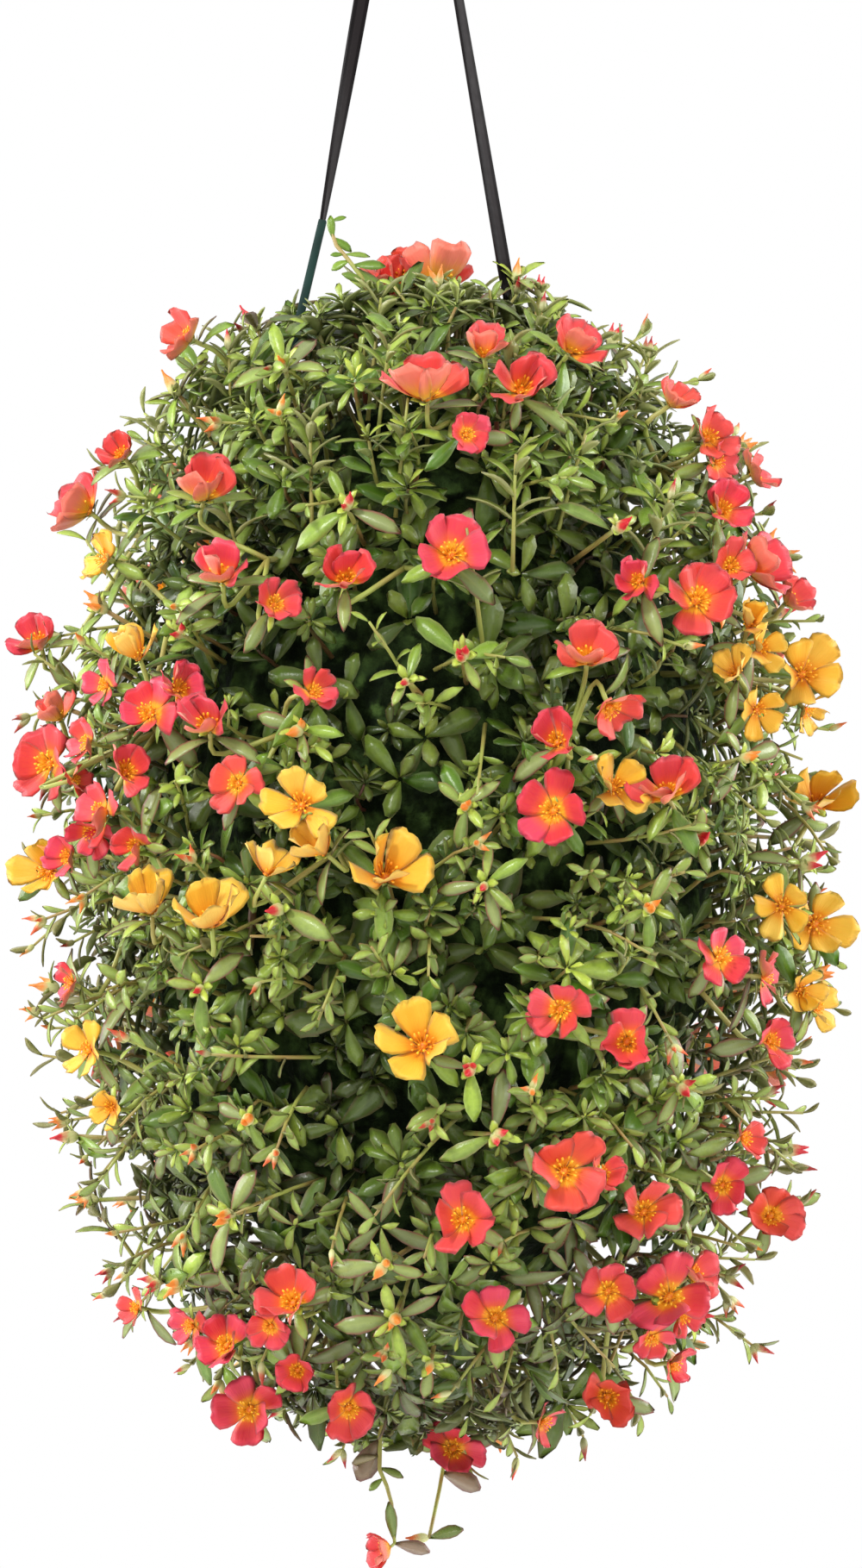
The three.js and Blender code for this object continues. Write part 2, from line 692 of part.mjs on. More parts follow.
// A flat strap, turned about its own length, from its arm's channel to the hook's hub
function strap(one) {
  const lower = armLine(one, one.top - STRAP.overlap);
  lower.x -= (one.side * ARM.wall) / 2;
  const upper = new THREE.Vector3(one.side * STRAP.apart, 0, -HOOK.hubTop - STRAP.seat);
  const along = upper.clone().sub(lower);
  const length = along.length();
  along.normalize();
  const frame = new THREE.Matrix4();
  const across = new THREE.Vector3(0, 1, 0);
  frame.makeBasis(new THREE.Vector3().crossVectors(across, along), across, along);
  frame.setPosition(lower.clone().add(upper).multiplyScalar(0.5));
  const made = (spare) => {
    const { width, thickness } = STRAP;
    const sides = [width + spare, thickness + spare, length + spare];
    const geometry = new THREE.BoxGeometry(...sides, 1, 1, STRAP.steps);
    const places = geometry.attributes.position;
    for (let i = 0; i < places.count; i++) {
      const turn = radians(strapTurn(one.turns, places.getZ(i) / length + 0.5));
      const x = places.getX(i);
      const y = places.getY(i);
      places.setX(i, x * Math.cos(turn) - y * Math.sin(turn));
      places.setY(i, x * Math.sin(turn) + y * Math.cos(turn));
    }
    return solid(geometry.applyMatrix4(frame));
  };
  return { body: made(0), room: made(2 * CLEARANCE) };
}

function strapTurn(turns, share) {
  const reached = THREE.MathUtils.clamp(share, 0, 1);
  const next = Math.max(turns.findIndex(([end]) => reached <= end), 1);
  const [from, before] = turns[next - 1];
  const [to, after] = turns[next];
  return THREE.MathUtils.mapLinear(reached, from, to, before, after);
}

// The hook: a bent round wire that stands in a small hub, which holds the straps' upper ends
function hookSolid(straps) {
  const bend = HOOK.inner + HOOK.wire;
  const points = [
    new THREE.Vector3(0, 0, -HOOK.hubTop - 4),
    new THREE.Vector3(4, 0, -HOOK.hubTop + 2),
  ];
  for (let turn = HOOK.from; turn <= HOOK.to; turn += HOOK.step) {
    const angle = radians(turn);
    points.push(
      new THREE.Vector3(bend * Math.cos(angle), 0, bend * Math.sin(angle) - HOOK.inner),
    );
  }
  const wire = tube(points, HOOK.wire, 6, 22);
  const hub = new THREE.BoxGeometry(...HOOK.hub);
  hub.translate(0, 0, -HOOK.hubTop - HOOK.hub[2] / 2);
  const whole = solid(hub).add(wire);
  return straps.reduce((left, one) => left.subtract(one.room), whole);
}

const part = new THREE.Group();

function addNode(name, body, colour, roughness) {
  const material = new THREE.MeshStandardMaterial({ color: colour, roughness, metalness: 0 });
  const mesh = new THREE.Mesh(geometryOf(body), material);
  mesh.name = name;
  part.add(mesh);
}

const arms = SIDES.map(arm);
const straps = SIDES.map(strap);
const sprays = allSprays();
const leafy = leafyStems(sprays, [...arms, ...straps]);

addNode("pot", potSolid(arms), PLASTIC, 0.45);
addNode("soil", soilSolid(leafy), SOIL_BROWN, 0.95);
addNode("hanger_hook", hookSolid(straps), STRAP_GREY, 0.5);
straps.forEach((one, i) => {
  addNode(`strap_${SIDES[i].name}`, one.body, STRAP_GREY, 0.55);
  addNode(arms[i].name, arms[i].body.subtract(one.room), PLASTIC, 0.4);
});
for (const node of leafy) {
  addNode(node.name, largest(joined([node.core, node.stem, ...node.parts])), node.colour, 0.6);
}
for (const one of sprays) {
  addNode(one.name, largest(joined(one.parts)), one.colour, 0.5);
}

export default part;
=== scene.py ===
# %% [markdown]
# # A moss rose grown as a ball round its hanging pot
# The plant hangs by two straps from a hook. Its pot is almost out of sight inside the growth. The
# picture is made of a few shapes that repeat: a fleshy leaf, a petal, a stamen, a bud and a stem.
# Each one is modelled once, by hand as it were, and then copied along the rules by which the plant
# grows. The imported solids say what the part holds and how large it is, so this lesson begins by
# loading them.

# %% Load the frame
import math
import random

import bmesh
import bpy
import numpy as np
from mathutils import Matrix, Vector, noise


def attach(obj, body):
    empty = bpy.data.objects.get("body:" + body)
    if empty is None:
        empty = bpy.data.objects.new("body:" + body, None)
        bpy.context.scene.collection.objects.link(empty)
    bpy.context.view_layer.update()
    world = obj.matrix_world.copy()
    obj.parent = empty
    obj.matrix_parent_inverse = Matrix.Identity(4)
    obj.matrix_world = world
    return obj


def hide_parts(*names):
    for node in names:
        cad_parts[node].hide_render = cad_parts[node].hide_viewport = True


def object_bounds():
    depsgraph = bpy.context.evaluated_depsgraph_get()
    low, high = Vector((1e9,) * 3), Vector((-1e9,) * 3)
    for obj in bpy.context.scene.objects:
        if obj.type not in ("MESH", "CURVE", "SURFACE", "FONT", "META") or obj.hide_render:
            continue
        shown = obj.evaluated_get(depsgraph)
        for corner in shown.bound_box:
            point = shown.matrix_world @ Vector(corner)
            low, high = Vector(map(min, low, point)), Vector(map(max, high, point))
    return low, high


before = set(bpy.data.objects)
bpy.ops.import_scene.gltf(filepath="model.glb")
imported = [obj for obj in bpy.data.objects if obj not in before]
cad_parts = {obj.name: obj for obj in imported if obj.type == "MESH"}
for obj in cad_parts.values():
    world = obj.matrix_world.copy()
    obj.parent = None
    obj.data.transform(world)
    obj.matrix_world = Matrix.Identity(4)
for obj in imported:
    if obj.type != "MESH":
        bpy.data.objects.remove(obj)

CAD_BOX = [list(corner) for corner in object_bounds()]
MM = 0.001
SEEDS = {"facings": 31, "blooms": 500, "shoots": 3, "stars": 21, "single": 77, "top": 8, "sprigs": 99}
print("nodes in the frame:", len(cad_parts))

# %% [markdown]
# ## Where things stand
# The origin is the hook's inner top. Heights of the plant are counted from the pot's rim, which
# hangs 568 mm below it. The growth fills a ball that is drawn out downwards, and blooms and shoots
# are placed on its skin, by the same formulas as the solids use.

# %% The ball and places on it
RIM_DROP = 0.568
BUSH = {"radius": 0.190, "half_height": 0.285, "middle": -0.020, "bulge": 2.5, "side": 0.010}
GOLDEN_ANGLE = 137.508


def bush_radius(height):
    share = abs(height - BUSH["middle"]) / BUSH["half_height"]
    if share >= 1:
        return 0.0
    return BUSH["radius"] * (1 - share ** BUSH["bulge"]) ** (1 / BUSH["bulge"])


def heading(azimuth, elevation):
    turn, rise = math.radians(azimuth), math.radians(elevation)
    return Vector((math.sin(turn) * math.cos(rise), -math.cos(turn) * math.cos(rise), math.sin(rise)))


def front_place(across, height, lift):
    """A place on the front of the skin, or off it by the lift, from where it is seen."""
    radius = max(bush_radius(height) + lift, 0)
    depth = math.sqrt(max(radius ** 2 - across ** 2, 0))
    return Vector((across + BUSH["side"], -depth, height - RIM_DROP))


def shell_place(azimuth, height, lift):
    turn, radius = math.radians(azimuth), bush_radius(height) + lift
    return Vector((radius * math.sin(turn) + BUSH["side"], -radius * math.cos(turn), height - RIM_DROP))


def place_mm(x, y, height):
    """A place from millimetres: across and back from the ball's axis, and above the rim."""
    return Vector((x * MM + BUSH["side"], y * MM, height * MM - RIM_DROP))


print("radius at the rim:", round(bush_radius(0), 4))

# %% [markdown]
# ## Working by hand in code
# Every shape starts from a primitive with nothing else selected. In edit mode its points or edges
# are picked by where they are, and the usual tools then act on what is picked.

# %% Taking, adding and joining pieces
def put_down():
    active = bpy.context.view_layer.objects.active
    if active and active.mode != "OBJECT":
        bpy.ops.object.mode_set(mode="OBJECT")
    bpy.ops.object.select_all(action="DESELECT")


def take(piece):
    put_down()
    piece.select_set(True)
    bpy.context.view_layer.objects.active = piece


def settle(piece):
    take(piece)
    bpy.ops.object.transform_apply(location=True, rotation=True, scale=True)


def start(name, add, **settings):
    """Adds a primitive with nothing else selected. Its place and turn go into its mesh."""
    put_down()
    add(**settings)
    piece = bpy.context.object
    piece.name = piece.data.name = name
    settle(piece)
    return piece


def join(piece, other):
    take(piece)
    other.select_set(True)
    bpy.ops.object.join()


print("one piece is taken at a time")

# %% Helpers for edit mode
def edit(piece):
    take(piece)
    bpy.ops.object.mode_set(mode="EDIT")


def pick(piece, test, kind="verts"):
    """Selects the points whose place passes the test, or the edges whose two ends do."""
    bpy.context.tool_settings.mesh_select_mode = (kind == "verts", kind == "edges", False)
    shape = bmesh.from_edit_mesh(piece.data)
    shape.select_mode = {"VERT" if kind == "verts" else "EDGE"}
    for group in (shape.verts, shape.edges, shape.faces):
        for one in group:
            one.select = False
    for one in getattr(shape, kind):
        ends = [one] if kind == "verts" else one.verts
        if test(*(end.co for end in ends)):
            one.select_set(True)
    shape.select_flush_mode()
    bmesh.update_edit_mesh(piece.data)


def pick_all():
    bpy.ops.mesh.select_all(action="SELECT")


def finish_with(piece, kind, **settings):
    take(piece)
    modifier = piece.modifiers.new(kind.lower(), kind)
    for key, value in settings.items():
        setattr(modifier, key, value)
    bpy.ops.object.modifier_apply(modifier=modifier.name)


print("edit helpers ready")

# %% [markdown]
# ## Copies with their own mesh
# A modelled shape is read into arrays once. A Growth then gathers placed copies of shapes and
# makes one mesh of them. Each copy brings values that its material reads: tone (its own draw
# between 0 and 1), young, flush (how far red shows) and deep (how much painted shade a leaf or
# stem gets for lying far inside the growth or under the ball; on a sprig's bud, how dried it looks).

# %% Shapes
TAGS = ("tone", "young", "flush", "deep")


def laid(points, matrix):
    """A shape's points, moved to where a matrix lays it."""
    return points @ np.array(matrix.to_3x3()).T + np.array(matrix.translation)


class Shape:
    """The arrays of one modelled shape. A face's second slot marks the underside."""

    def __init__(self, piece):
        put_down()
        mesh = piece.data
        self.points = np.empty(len(mesh.vertices) * 3)
        mesh.vertices.foreach_get("co", self.points)
        self.points = self.points.reshape(-1, 3)
        self.corners = np.empty(len(mesh.loops), np.int32)
        mesh.loops.foreach_get("vertex_index", self.corners)
        self.starts = np.empty(len(mesh.polygons), np.int32)
        mesh.polygons.foreach_get("loop_start", self.starts)
        under = np.empty(len(mesh.polygons), np.int32)
        mesh.polygons.foreach_get("material_index", under)
        sizes = np.diff(np.append(self.starts, len(self.corners)))
        self.back = np.repeat(under, sizes).astype(float)
        self.uv = np.zeros(len(mesh.loops) * 2)
        if mesh.uv_layers:
            mesh.uv_layers[0].data.foreach_get("uv", self.uv)
        self.uv = self.uv.reshape(-1, 2)
        self.triangles = int((sizes - 2).sum())
        bpy.data.objects.remove(piece)


print("each copy brings:", ", ".join(TAGS))

# %% Growths
class Growth:
    """Gathers placed copies of shapes, and makes one mesh of them."""

    def __init__(self):
        self.copies = []

    def add(self, shape, points, finish, **tags):
        self.copies.append((shape, points, finish, [tags.get(tag, 0.0) for tag in TAGS]))

    def place(self, shape, matrix, finish, **tags):
        self.add(shape, laid(shape.points, matrix), finish, **tags)

    def triangles(self):
        return sum(copy[0].triangles for copy in self.copies)

    def build(self, name, finishes):
        slots = sorted({copy[2] for copy in self.copies})
        points, corners, starts, uvs, backs, tags, slot = [], [], [], [], [], [], []
        first_point = first_corner = 0
        for shape, placed, finish, values in self.copies:
            points.append(placed)
            corners.append(shape.corners + first_point)
            starts.append(shape.starts + first_corner)
            uvs.append(shape.uv)
            backs.append(shape.back)
            tags.append(np.tile(values, (len(placed), 1)))
            slot.append(np.full(len(shape.starts), slots.index(finish), np.int32))
            first_point += len(placed)
            first_corner += len(shape.corners)
        mesh = bpy.data.meshes.new(name)
        mesh.vertices.add(first_point)
        mesh.vertices.foreach_set("co", np.concatenate(points).astype(np.float32).ravel())
        mesh.loops.add(first_corner)
        mesh.loops.foreach_set("vertex_index", np.concatenate(corners).astype(np.int32))
        mesh.polygons.add(sum(len(s) for s in starts))
        mesh.polygons.foreach_set("loop_start", np.concatenate(starts).astype(np.int32))
        mesh.polygons.foreach_set("material_index", np.concatenate(slot))
        mesh.update(calc_edges=True)
        mesh.uv_layers.new(name="sheet").data.foreach_set("uv", np.concatenate(uvs).ravel())
        back = mesh.attributes.new("back", "FLOAT", "CORNER")
        back.data.foreach_set("value", np.concatenate(backs))
        values = np.concatenate(tags)
        for i, tag in enumerate(TAGS):
            mesh.attributes.new(tag, "FLOAT", "POINT").data.foreach_set("value", values[:, i].copy())
        for finish in slots:
            mesh.materials.append(finishes[finish])
        mesh.shade_smooth()
        piece = bpy.data.objects.new(name, mesh)
        bpy.context.collection.objects.link(piece)
        return piece


print("growth helpers ready")

# %% [markdown]
# ## The fleshy leaf
# A moss rose leaf is a thick spatula, widest past its middle, with a faint channel along the top
# and a tip that bends back a little. It could be sculpted, but thousands of copies need few faces.
# So a grid is narrowed row by row, its middle line is pressed down, and a copy of the sheet,
# turned over and bellied out, closes the underside.

# %% Model a closed blade from a grid
def blade(name, columns, rows, widths, lifts, channel, belly, tip=None):
    """A closed blade from y = 0 to 1, about 1 wide: widths and lifts give each row's form."""
    sheet = start(name, bpy.ops.mesh.primitive_grid_add, x_subdivisions=columns, y_subdivisions=rows,
                  size=1, location=(0, 0.5, 0))
    edit(sheet)
    for row, (width, lift) in enumerate(zip(widths, lifts)):
        height = row / rows
        pick(sheet, lambda co: abs(co.y - height) < 0.01)
        bpy.ops.transform.resize(value=(width, 1, 1), center_override=(0, height, 0))
        bpy.ops.transform.translate(value=(0, 0, lift))
    pick(sheet, lambda co: abs(co.x) < 0.01)
    bpy.ops.transform.translate(value=(0, 0, -channel))
    for reach, shift in (tip or {}).items():
        pick(sheet, lambda co: co.y > 0.95 and abs(abs(co.x) - reach * widths[-1]) < 0.02)
        bpy.ops.transform.translate(value=(0, shift, 0))
    close_underside(sheet, belly)
    return sheet


def close_underside(sheet, belly):
    pick_all()
    bpy.ops.mesh.duplicate()
    bpy.ops.mesh.flip_normals()
    shape = bmesh.from_edit_mesh(sheet.data)
    for face in shape.faces:
        if face.select:
            face.material_index = 1
    for point in shape.verts:
        point.select = point.select and not point.is_boundary
    shape.select_flush_mode()
    for point in shape.verts:
        if point.select:
            point.co.z -= belly
    bmesh.update_edit_mesh(sheet.data)
    pick_all()
    bpy.ops.mesh.remove_doubles(threshold=0.0005)


LEAF = Shape(blade("leaf", 2, 5, widths=(0.17, 0.52, 0.84, 1.0, 0.84, 0.18),
                   lifts=(0, 0.035, 0.055, 0.055, 0.03, -0.03), channel=0.035, belly=0.045))
SMALL_LEAF = Shape(blade("small_leaf", 2, 4, widths=(0.17, 0.5, 0.86, 1.0, 0.42),
                         lifts=(0, 0.045, 0.06, 0.045, -0.01), channel=0.04, belly=0.05))
print("leaf:", LEAF.triangles, "triangles; small leaf:", SMALL_LEAF.triangles)

# %% [markdown]
# ## Petals
# A petal is a thin wedge that widens to a rounded, notched end. The yellow ones are slimmer towards
# their base than the coral ones. The same closed blade gives both: more columns let the end be
# notched, and each row is lifted higher than the last.

# %% Model the petals
def petal(name, widths, notch):
    lifts = (0, 0.02, 0.06, 0.12, 0.2, 0.27)
    ends = {0.5: -0.1, 0.333: -0.025, 0.0: -notch}
    return Shape(blade(name, 6, 5, widths, lifts, channel=0.012, belly=0.012, tip=ends))


PETALS = {
    "coral": petal("coral_petal", (0.24, 0.5, 0.78, 0.95, 1.0, 0.8), 0.035),
    "yellow": petal("yellow_petal", (0.2, 0.42, 0.7, 0.92, 1.0, 0.8), 0.03),
}
print("petal:", PETALS["coral"].triangles, "triangles")

# %% [markdown]
# ## The bloom's middle
# Inside the petals stands a tuft of thin filaments with anthers on their ends, round a small
# dome. A filament is a slim cone, and its anther is a little ball drawn out along it.

# %% Model a stamen and the dome
def stamen():
    thread = start("thread", bpy.ops.mesh.primitive_cone_add, vertices=3, radius1=0.045,
                   radius2=0.03, depth=0.9, end_fill_type="NOTHING", location=(0, 0, 0.45))
    anther = start("anther", bpy.ops.mesh.primitive_ico_sphere_add, subdivisions=1, radius=0.1,
                   location=(0, 0, 0.93), scale=(1, 1, 1.5))
    edit(anther)
    pick(anther, lambda co: co.z > 0.99)
    bpy.ops.transform.translate(value=(0.03, 0, 0.03))
    join(thread, anther)
    return Shape(thread)


def dome():
    ball = start("dome", bpy.ops.mesh.primitive_uv_sphere_add, segments=10, ring_count=6, radius=1,
                 scale=(1, 1, 0.7))
    edit(ball)
    pick(ball, lambda co: co.z < -0.3)
    bpy.ops.transform.resize(value=(0.4, 0.4, 1), center_override=(0, 0, 0))
    return Shape(ball)


STAMEN, DOME = stamen(), dome()
print("stamen:", STAMEN.triangles, "triangles; dome:", DOME.triangles)

# %% [markdown]
# ## Buds and faded blooms
# Among the leaves sit pale green buds, and blooms that have closed and twisted into a red or
# orange point. Both have the same outline: a fat base that narrows into a twisted tip. A ball is
# drawn out upwards, and rings of it are turned against each other to give the twist.

# %% Model a bud
def bud():
    body = start("bud", bpy.ops.mesh.primitive_uv_sphere_add, segments=8, ring_count=8, radius=0.5,
                 location=(0, 0, 0.5))
    edit(body)
    pick(body, lambda co: co.z > 0.6)
    bpy.ops.transform.resize(value=(0.72, 0.72, 1), center_override=(0, 0, 0.6))
    bpy.ops.transform.translate(value=(0, 0, 0.25))
    pick(body, lambda co: co.z > 1.0)
    bpy.ops.transform.resize(value=(0.6, 0.42, 1), center_override=(0, 0, 1))
    bpy.ops.transform.rotate(value=0.9, orient_axis="Z", center_override=(0, 0, 1))
    bpy.ops.transform.translate(value=(0.02, 0, 0.2))
    pick(body, lambda co: co.z > 1.35)
    bpy.ops.transform.rotate(value=0.8, orient_axis="Z", center_override=(0, 0, 1))
    bpy.ops.transform.translate(value=(0.06, 0.03, 0.08))
    return Shape(body)


BUD = bud()
print("bud:", BUD.triangles, "triangles, up to", round(float(BUD.points[:, 2].max()), 2))

# %% [markdown]
# ## Stems
# Stems are round, a few millimetres thick, and bend. One straight cylinder with rings along it is
# modelled, and each copy is led along a curve through a few points.

# %% Model the straight stem and lead copies along curves
def stem(name, sides, rings):
    rod = start(name, bpy.ops.mesh.primitive_cylinder_add, vertices=sides, radius=1, depth=1,
                location=(0, 0, 0.5))
    edit(rod)
    pick(rod, lambda a, b: abs(a.z - b.z) > 0.5, "edges")
    bpy.ops.mesh.subdivide(number_cuts=rings - 2)
    return Shape(rod)


STEM, TWIG = stem("stem", 6, 8), stem("twig", 5, 4)


def curve_point(points, share):
    """A point of the smooth curve through the points, and its direction there."""
    spans = len(points) - 1
    at = min(int(share * spans), spans - 1)
    t = share * spans - at
    p1, p2 = points[at], points[at + 1]
    p0 = points[at - 1] if at else p1 * 2 - p2
    p3 = points[at + 2] if at + 2 <= spans else p2 * 2 - p1
    place = 0.5 * (p1 * 2 + (p2 - p0) * t + (p0 * 2 - p1 * 5 + p2 * 4 - p3) * t ** 2
                   + (p1 * 3 - p0 - p2 * 3 + p3) * t ** 3)
    slope = 0.5 * ((p2 - p0) + (p0 * 2 - p1 * 5 + p2 * 4 - p3) * 2 * t
                   + (p1 * 3 - p0 - p2 * 3 + p3) * 3 * t ** 2)
    return place, slope.normalized()


def lead_stem(growth, shape, points, root_radius, tip_radius, finish="stem", **tags):
    """Bends a copy of a straight stem along the curve through the points."""
    placed = shape.points.copy()
    across = None
    for share in np.unique(shape.points[:, 2].round(3)):
        rows = np.abs(shape.points[:, 2] - share) < 0.01
        place, along = curve_point(points, float(share))
        across = across - along * across.dot(along) if across else along.orthogonal()
        across.normalize()
        aside = along.cross(across)
        flat = shape.points[rows, :2] * (root_radius + (tip_radius - root_radius) * share)
        placed[rows] = np.array(place) + flat[:, :1] * np.array(across) + flat[:, 1:] * np.array(aside)
    growth.add(shape, placed, finish, **tags)


print("stem:", STEM.triangles, "triangles; twig:", TWIG.triangles)

# %% [markdown]
# ## Setting a leaf, and a rosette of leaves
# Leaves stand round a shoot's tip by the golden angle. The outer ones are long and lie open, the
# inner ones are young, short and upright. Further leaves sit along the shoot below the tip.

# %% Laying one leaf
def frame_of(place, along, up, width, length, thick):
    """A matrix that lays a blade from a place along a direction, its upper side towards up."""
    across = along.cross(up).normalized()
    face = across.cross(along).normalized()
    turn = Matrix((across * width, along.normalized() * length, face * thick)).transposed()
    return Matrix.Translation(place) @ turn.to_4x4()


def set_leaf(growth, shape, place, along, up, length, width, **tags):
    """Sets one leaf, which arches back more or less by its own tone."""
    points = shape.points.copy()
    points[:, 2] -= (0.3 * tags["tone"] - 0.06) * points[:, 1] ** 2
    growth.add(shape, laid(points, frame_of(place, along, up, width, length, length)), "leaf", **tags)


print("a leaf tip bends back by up to", 0.3 - 0.06, "of its length")

# %% Directions
FULL_TURN = 6.28        # for random spins


def tilted(first, second, angle):
    """The first direction, tilted by an angle towards the second, which is square to it."""
    return first * math.cos(angle) + second * math.sin(angle)


def side_direction(facing, spin):
    """A direction square to the facing, turned round it by the spin."""
    first = facing.orthogonal().normalized()
    return tilted(first, facing.cross(first), spin)


def shake(draw, reach):
    """A random shift, up to the reach along each axis."""
    return Vector([draw.uniform(-reach, reach) for _ in range(3)])


print("a side direction:", side_direction(Vector((0, 0, 1)), 0))

# %% Rosettes
BOX_MARGIN = 0.0025     # leaf tips stay this far inside the solids' box


def leaf_allowed(tip, half_way):
    """Leaves keep inside the solids' box and off the faces of the blooms.

    A leaf is on a face if it is just over it, or between it and the camera.
    """
    for axis in range(3):
        if not CAD_BOX[0][axis] + BOX_MARGIN < tip[axis] < CAD_BOX[1][axis] - BOX_MARGIN:
            return False
    for point in (tip, half_way):
        away = np.array(point) - BLOOM_PLACES
        rise = (away * BLOOM_FACINGS).sum(1)
        aside = np.sqrt(np.maximum((away ** 2).sum(1) - rise ** 2, 0))
        over_face = (rise > -0.002) & (rise < 0.05) & (aside < BLOOM_RADII * 0.95)
        before = (np.abs(away[:, 0]) < BLOOM_RADII * 0.75) & (np.abs(away[:, 2]) < BLOOM_RADII * 0.75)
        before &= (away[:, 1] < -0.004) & BLOOM_IN_FRONT
        if (over_face | before).any():
            return False
    return True


def leaf_fits(place, along, length):
    return leaf_allowed(place + along * length, place + along * length * 0.5)


def rosette(growth, draw, place, facing, shape, size, leaves, width, low=-6, high=66, young=0,
            flush=0, deep=0):
    """Leaves round a tip: the outer ones rise low degrees from the open plane, the inner ones high.

    The size is the outer leaves' length, and the width a leaf's width as a share of its length.
    """
    spin = draw.uniform(0, FULL_TURN)
    for i in range(leaves):
        inner = i / max(leaves - 1, 1)
        radial = side_direction(facing, spin + math.radians(GOLDEN_ANGLE * i + draw.uniform(-24, 24)))
        rise = math.radians(low + (high - low) * inner ** 1.4 + draw.uniform(-20, 20))
        along, up = tilted(radial, facing, rise), tilted(facing, -radial, rise)
        length = size * (1 - 0.58 * inner ** 1.6) * draw.uniform(0.72, 1.16)
        base = place + facing * (0.003 * inner) + along * 0.001
        if leaf_fits(base, along, length):
            set_leaf(growth, shape, base, along, up, length, length * width * draw.uniform(0.85, 1.15),
                     tone=draw.random(), young=min(1, young + 0.75 * inner ** 2),
                     flush=min(1, flush * 2.2 * draw.random() ** 1.6), deep=deep)


print("rosettes ready")

# %% [markdown]
# ## Shader sums written as Python
# A finish is easier to read as a formula than as a list of wires. A Wire wraps a socket, so that
# sums on it add Math nodes, and a Finish adds any other node by its type, settings and inputs.

# %% Colours and wires
def rgb(code):
    """A colour from its hexadecimal code, in linear light."""
    shares = [int(code[i:i + 2], 16) / 255 for i in (1, 3, 5)]
    return tuple(s / 12.92 if s <= 0.04045 else ((s + 0.055) / 1.055) ** 2.4 for s in shares) + (1.0,)


class Wire:
    """A socket of a finish. A sum on it adds a Math node and gives its output."""

    def __init__(self, finish, socket):
        self.finish, self.socket = finish, socket

    def sum_of(self, operation, first, second):
        return self.finish.node("ShaderNodeMath", {"operation": operation}, {0: first, 1: second})

    def __add__(self, other):
        return self.sum_of("ADD", self, other)

    def __sub__(self, other):
        return self.sum_of("SUBTRACT", self, other)

    def __rsub__(self, other):
        return self.sum_of("SUBTRACT", other, self)

    def __mul__(self, other):
        return self.sum_of("MULTIPLY", self, other)

    __radd__, __rmul__ = __add__, __mul__

    def size(self):
        return self.sum_of("ABSOLUTE", self, 0)

    def ramp(self, low, high):
        """Rises smoothly from 0 at low to 1 at high."""
        settings = {"interpolation_type": "SMOOTHSTEP"}
        return self.finish.node("ShaderNodeMapRange", settings, {"Value": self, 1: low, 2: high})


print("a mid grey in linear light:", round(rgb("#808080")[0], 3))

# %% Finishes
class Finish:
    """A material, and the ways to add nodes to it."""

    def __init__(self, name, roughness=0.5, **constants):
        self.material = bpy.data.materials.new(name)
        self.material.use_nodes = True
        self.tree = self.material.node_tree
        self.shader = self.tree.nodes["Principled BSDF"]
        self.shader.inputs["Roughness"].default_value = roughness
        for socket, value in constants.items():
            self.shader.inputs[socket.replace("_", " ")].default_value = value

    def node(self, kind, settings=None, inputs=None, output=0):
        made = self.tree.nodes.new(kind)
        for key, value in (settings or {}).items():
            setattr(made, key, value)
        for socket, value in (inputs or {}).items():
            if isinstance(value, Wire):
                self.tree.links.new(value.socket, made.inputs[socket])
            else:
                made.inputs[socket].default_value = value
        return Wire(self, made.outputs[output])

    def value_of(self, name):
        return self.node("ShaderNodeAttribute", {"attribute_name": name}, output="Fac")

    def sheet(self):
        """The places across and along a blade, each from 0 to 1."""
        uv = self.node("ShaderNodeUVMap", {"uv_map": "sheet"})
        split = self.node("ShaderNodeSeparateXYZ", {}, {0: uv}).socket.node
        return Wire(self, split.outputs["X"]), Wire(self, split.outputs["Y"])

    def place(self, scale=(1, 1, 1)):
        spot = self.node("ShaderNodeTexCoord", output="Object")
        return self.node("ShaderNodeMapping", {}, {"Vector": spot, "Scale": scale})

    def noise(self, scale, detail=2.0, where=None):
        inputs = {"Scale": scale, "Detail": detail, "Vector": where or self.place()}
        return self.node("ShaderNodeTexNoise", {}, inputs)

    def mix(self, share, first, second):
        """A mix of two colours. The node's sockets share their names, so numbers pick them."""
        inputs = {0: share, 6: first, 7: second}
        return self.node("ShaderNodeMix", {"data_type": "RGBA"}, inputs, output=2)

    def shade(self, colour, share):
        """Multiplies a colour by a number that varies over the surface."""
        grey = self.node("ShaderNodeCombineXYZ", {}, {0: share, 1: share, 2: share})
        return self.node("ShaderNodeVectorMath", {"operation": "MULTIPLY"}, {0: colour, 1: grey})

    def lead(self, wire, socket):
        self.tree.links.new(wire.socket, self.shader.inputs[socket])

    def bump(self, height, strength, distance):
        inputs = {"Height": height, "Strength": strength, "Distance": distance}
        self.lead(self.node("ShaderNodeBump", {}, inputs), "Normal")


print("finish helpers ready")

# %% [markdown]
# ## The leaf's skin
# Leaves run from a deep green to the yellow green of young tips. Large leaves round the blooms have
# a thin red edge and a dull purple underside: flush says how much. A faint line marks the channel,
# and a soft mottle breaks the colour up. A paler band along the edges is a painted rim highlight, and
# deep darkens leaves with painted shade. The skin has a satin shine.

# %% Leaf finish
FINISHES = {}
leaf = Finish("leaf_skin", roughness=0.3, Specular_IOR_Level=0.45)
across, along = leaf.sheet()
tone, young, flush, deep = (leaf.value_of(name) for name in TAGS)
aside = (across * 2 - 1).size()
green = leaf.mix(tone, rgb("#467012"), rgb("#8fae3b"))
green = leaf.mix(young, green, rgb("#c4d552"))
mottle = leaf.noise(420, 3)
green = leaf.mix((mottle - 0.5) * 0.8 + 0.1, green, rgb("#3f5a1e"))
green = leaf.mix((1 - aside.ramp(0.0, 0.16)) * 0.08, green, rgb("#c0ca74"))
# Painted rim highlight: the outer part of each half of the leaf is made paler.
green = leaf.mix(aside.ramp(0.55, 1.0) * 0.22, green, rgb("#b8c788"))
green = leaf.mix(flush * (1 - young) * 0.6, green, rgb("#929168"))
edge = (aside.ramp(0.62, 0.98) + along.ramp(0.9, 1.0)) * flush
green = leaf.mix(edge * 0.8, green, rgb("#8a3f40"))
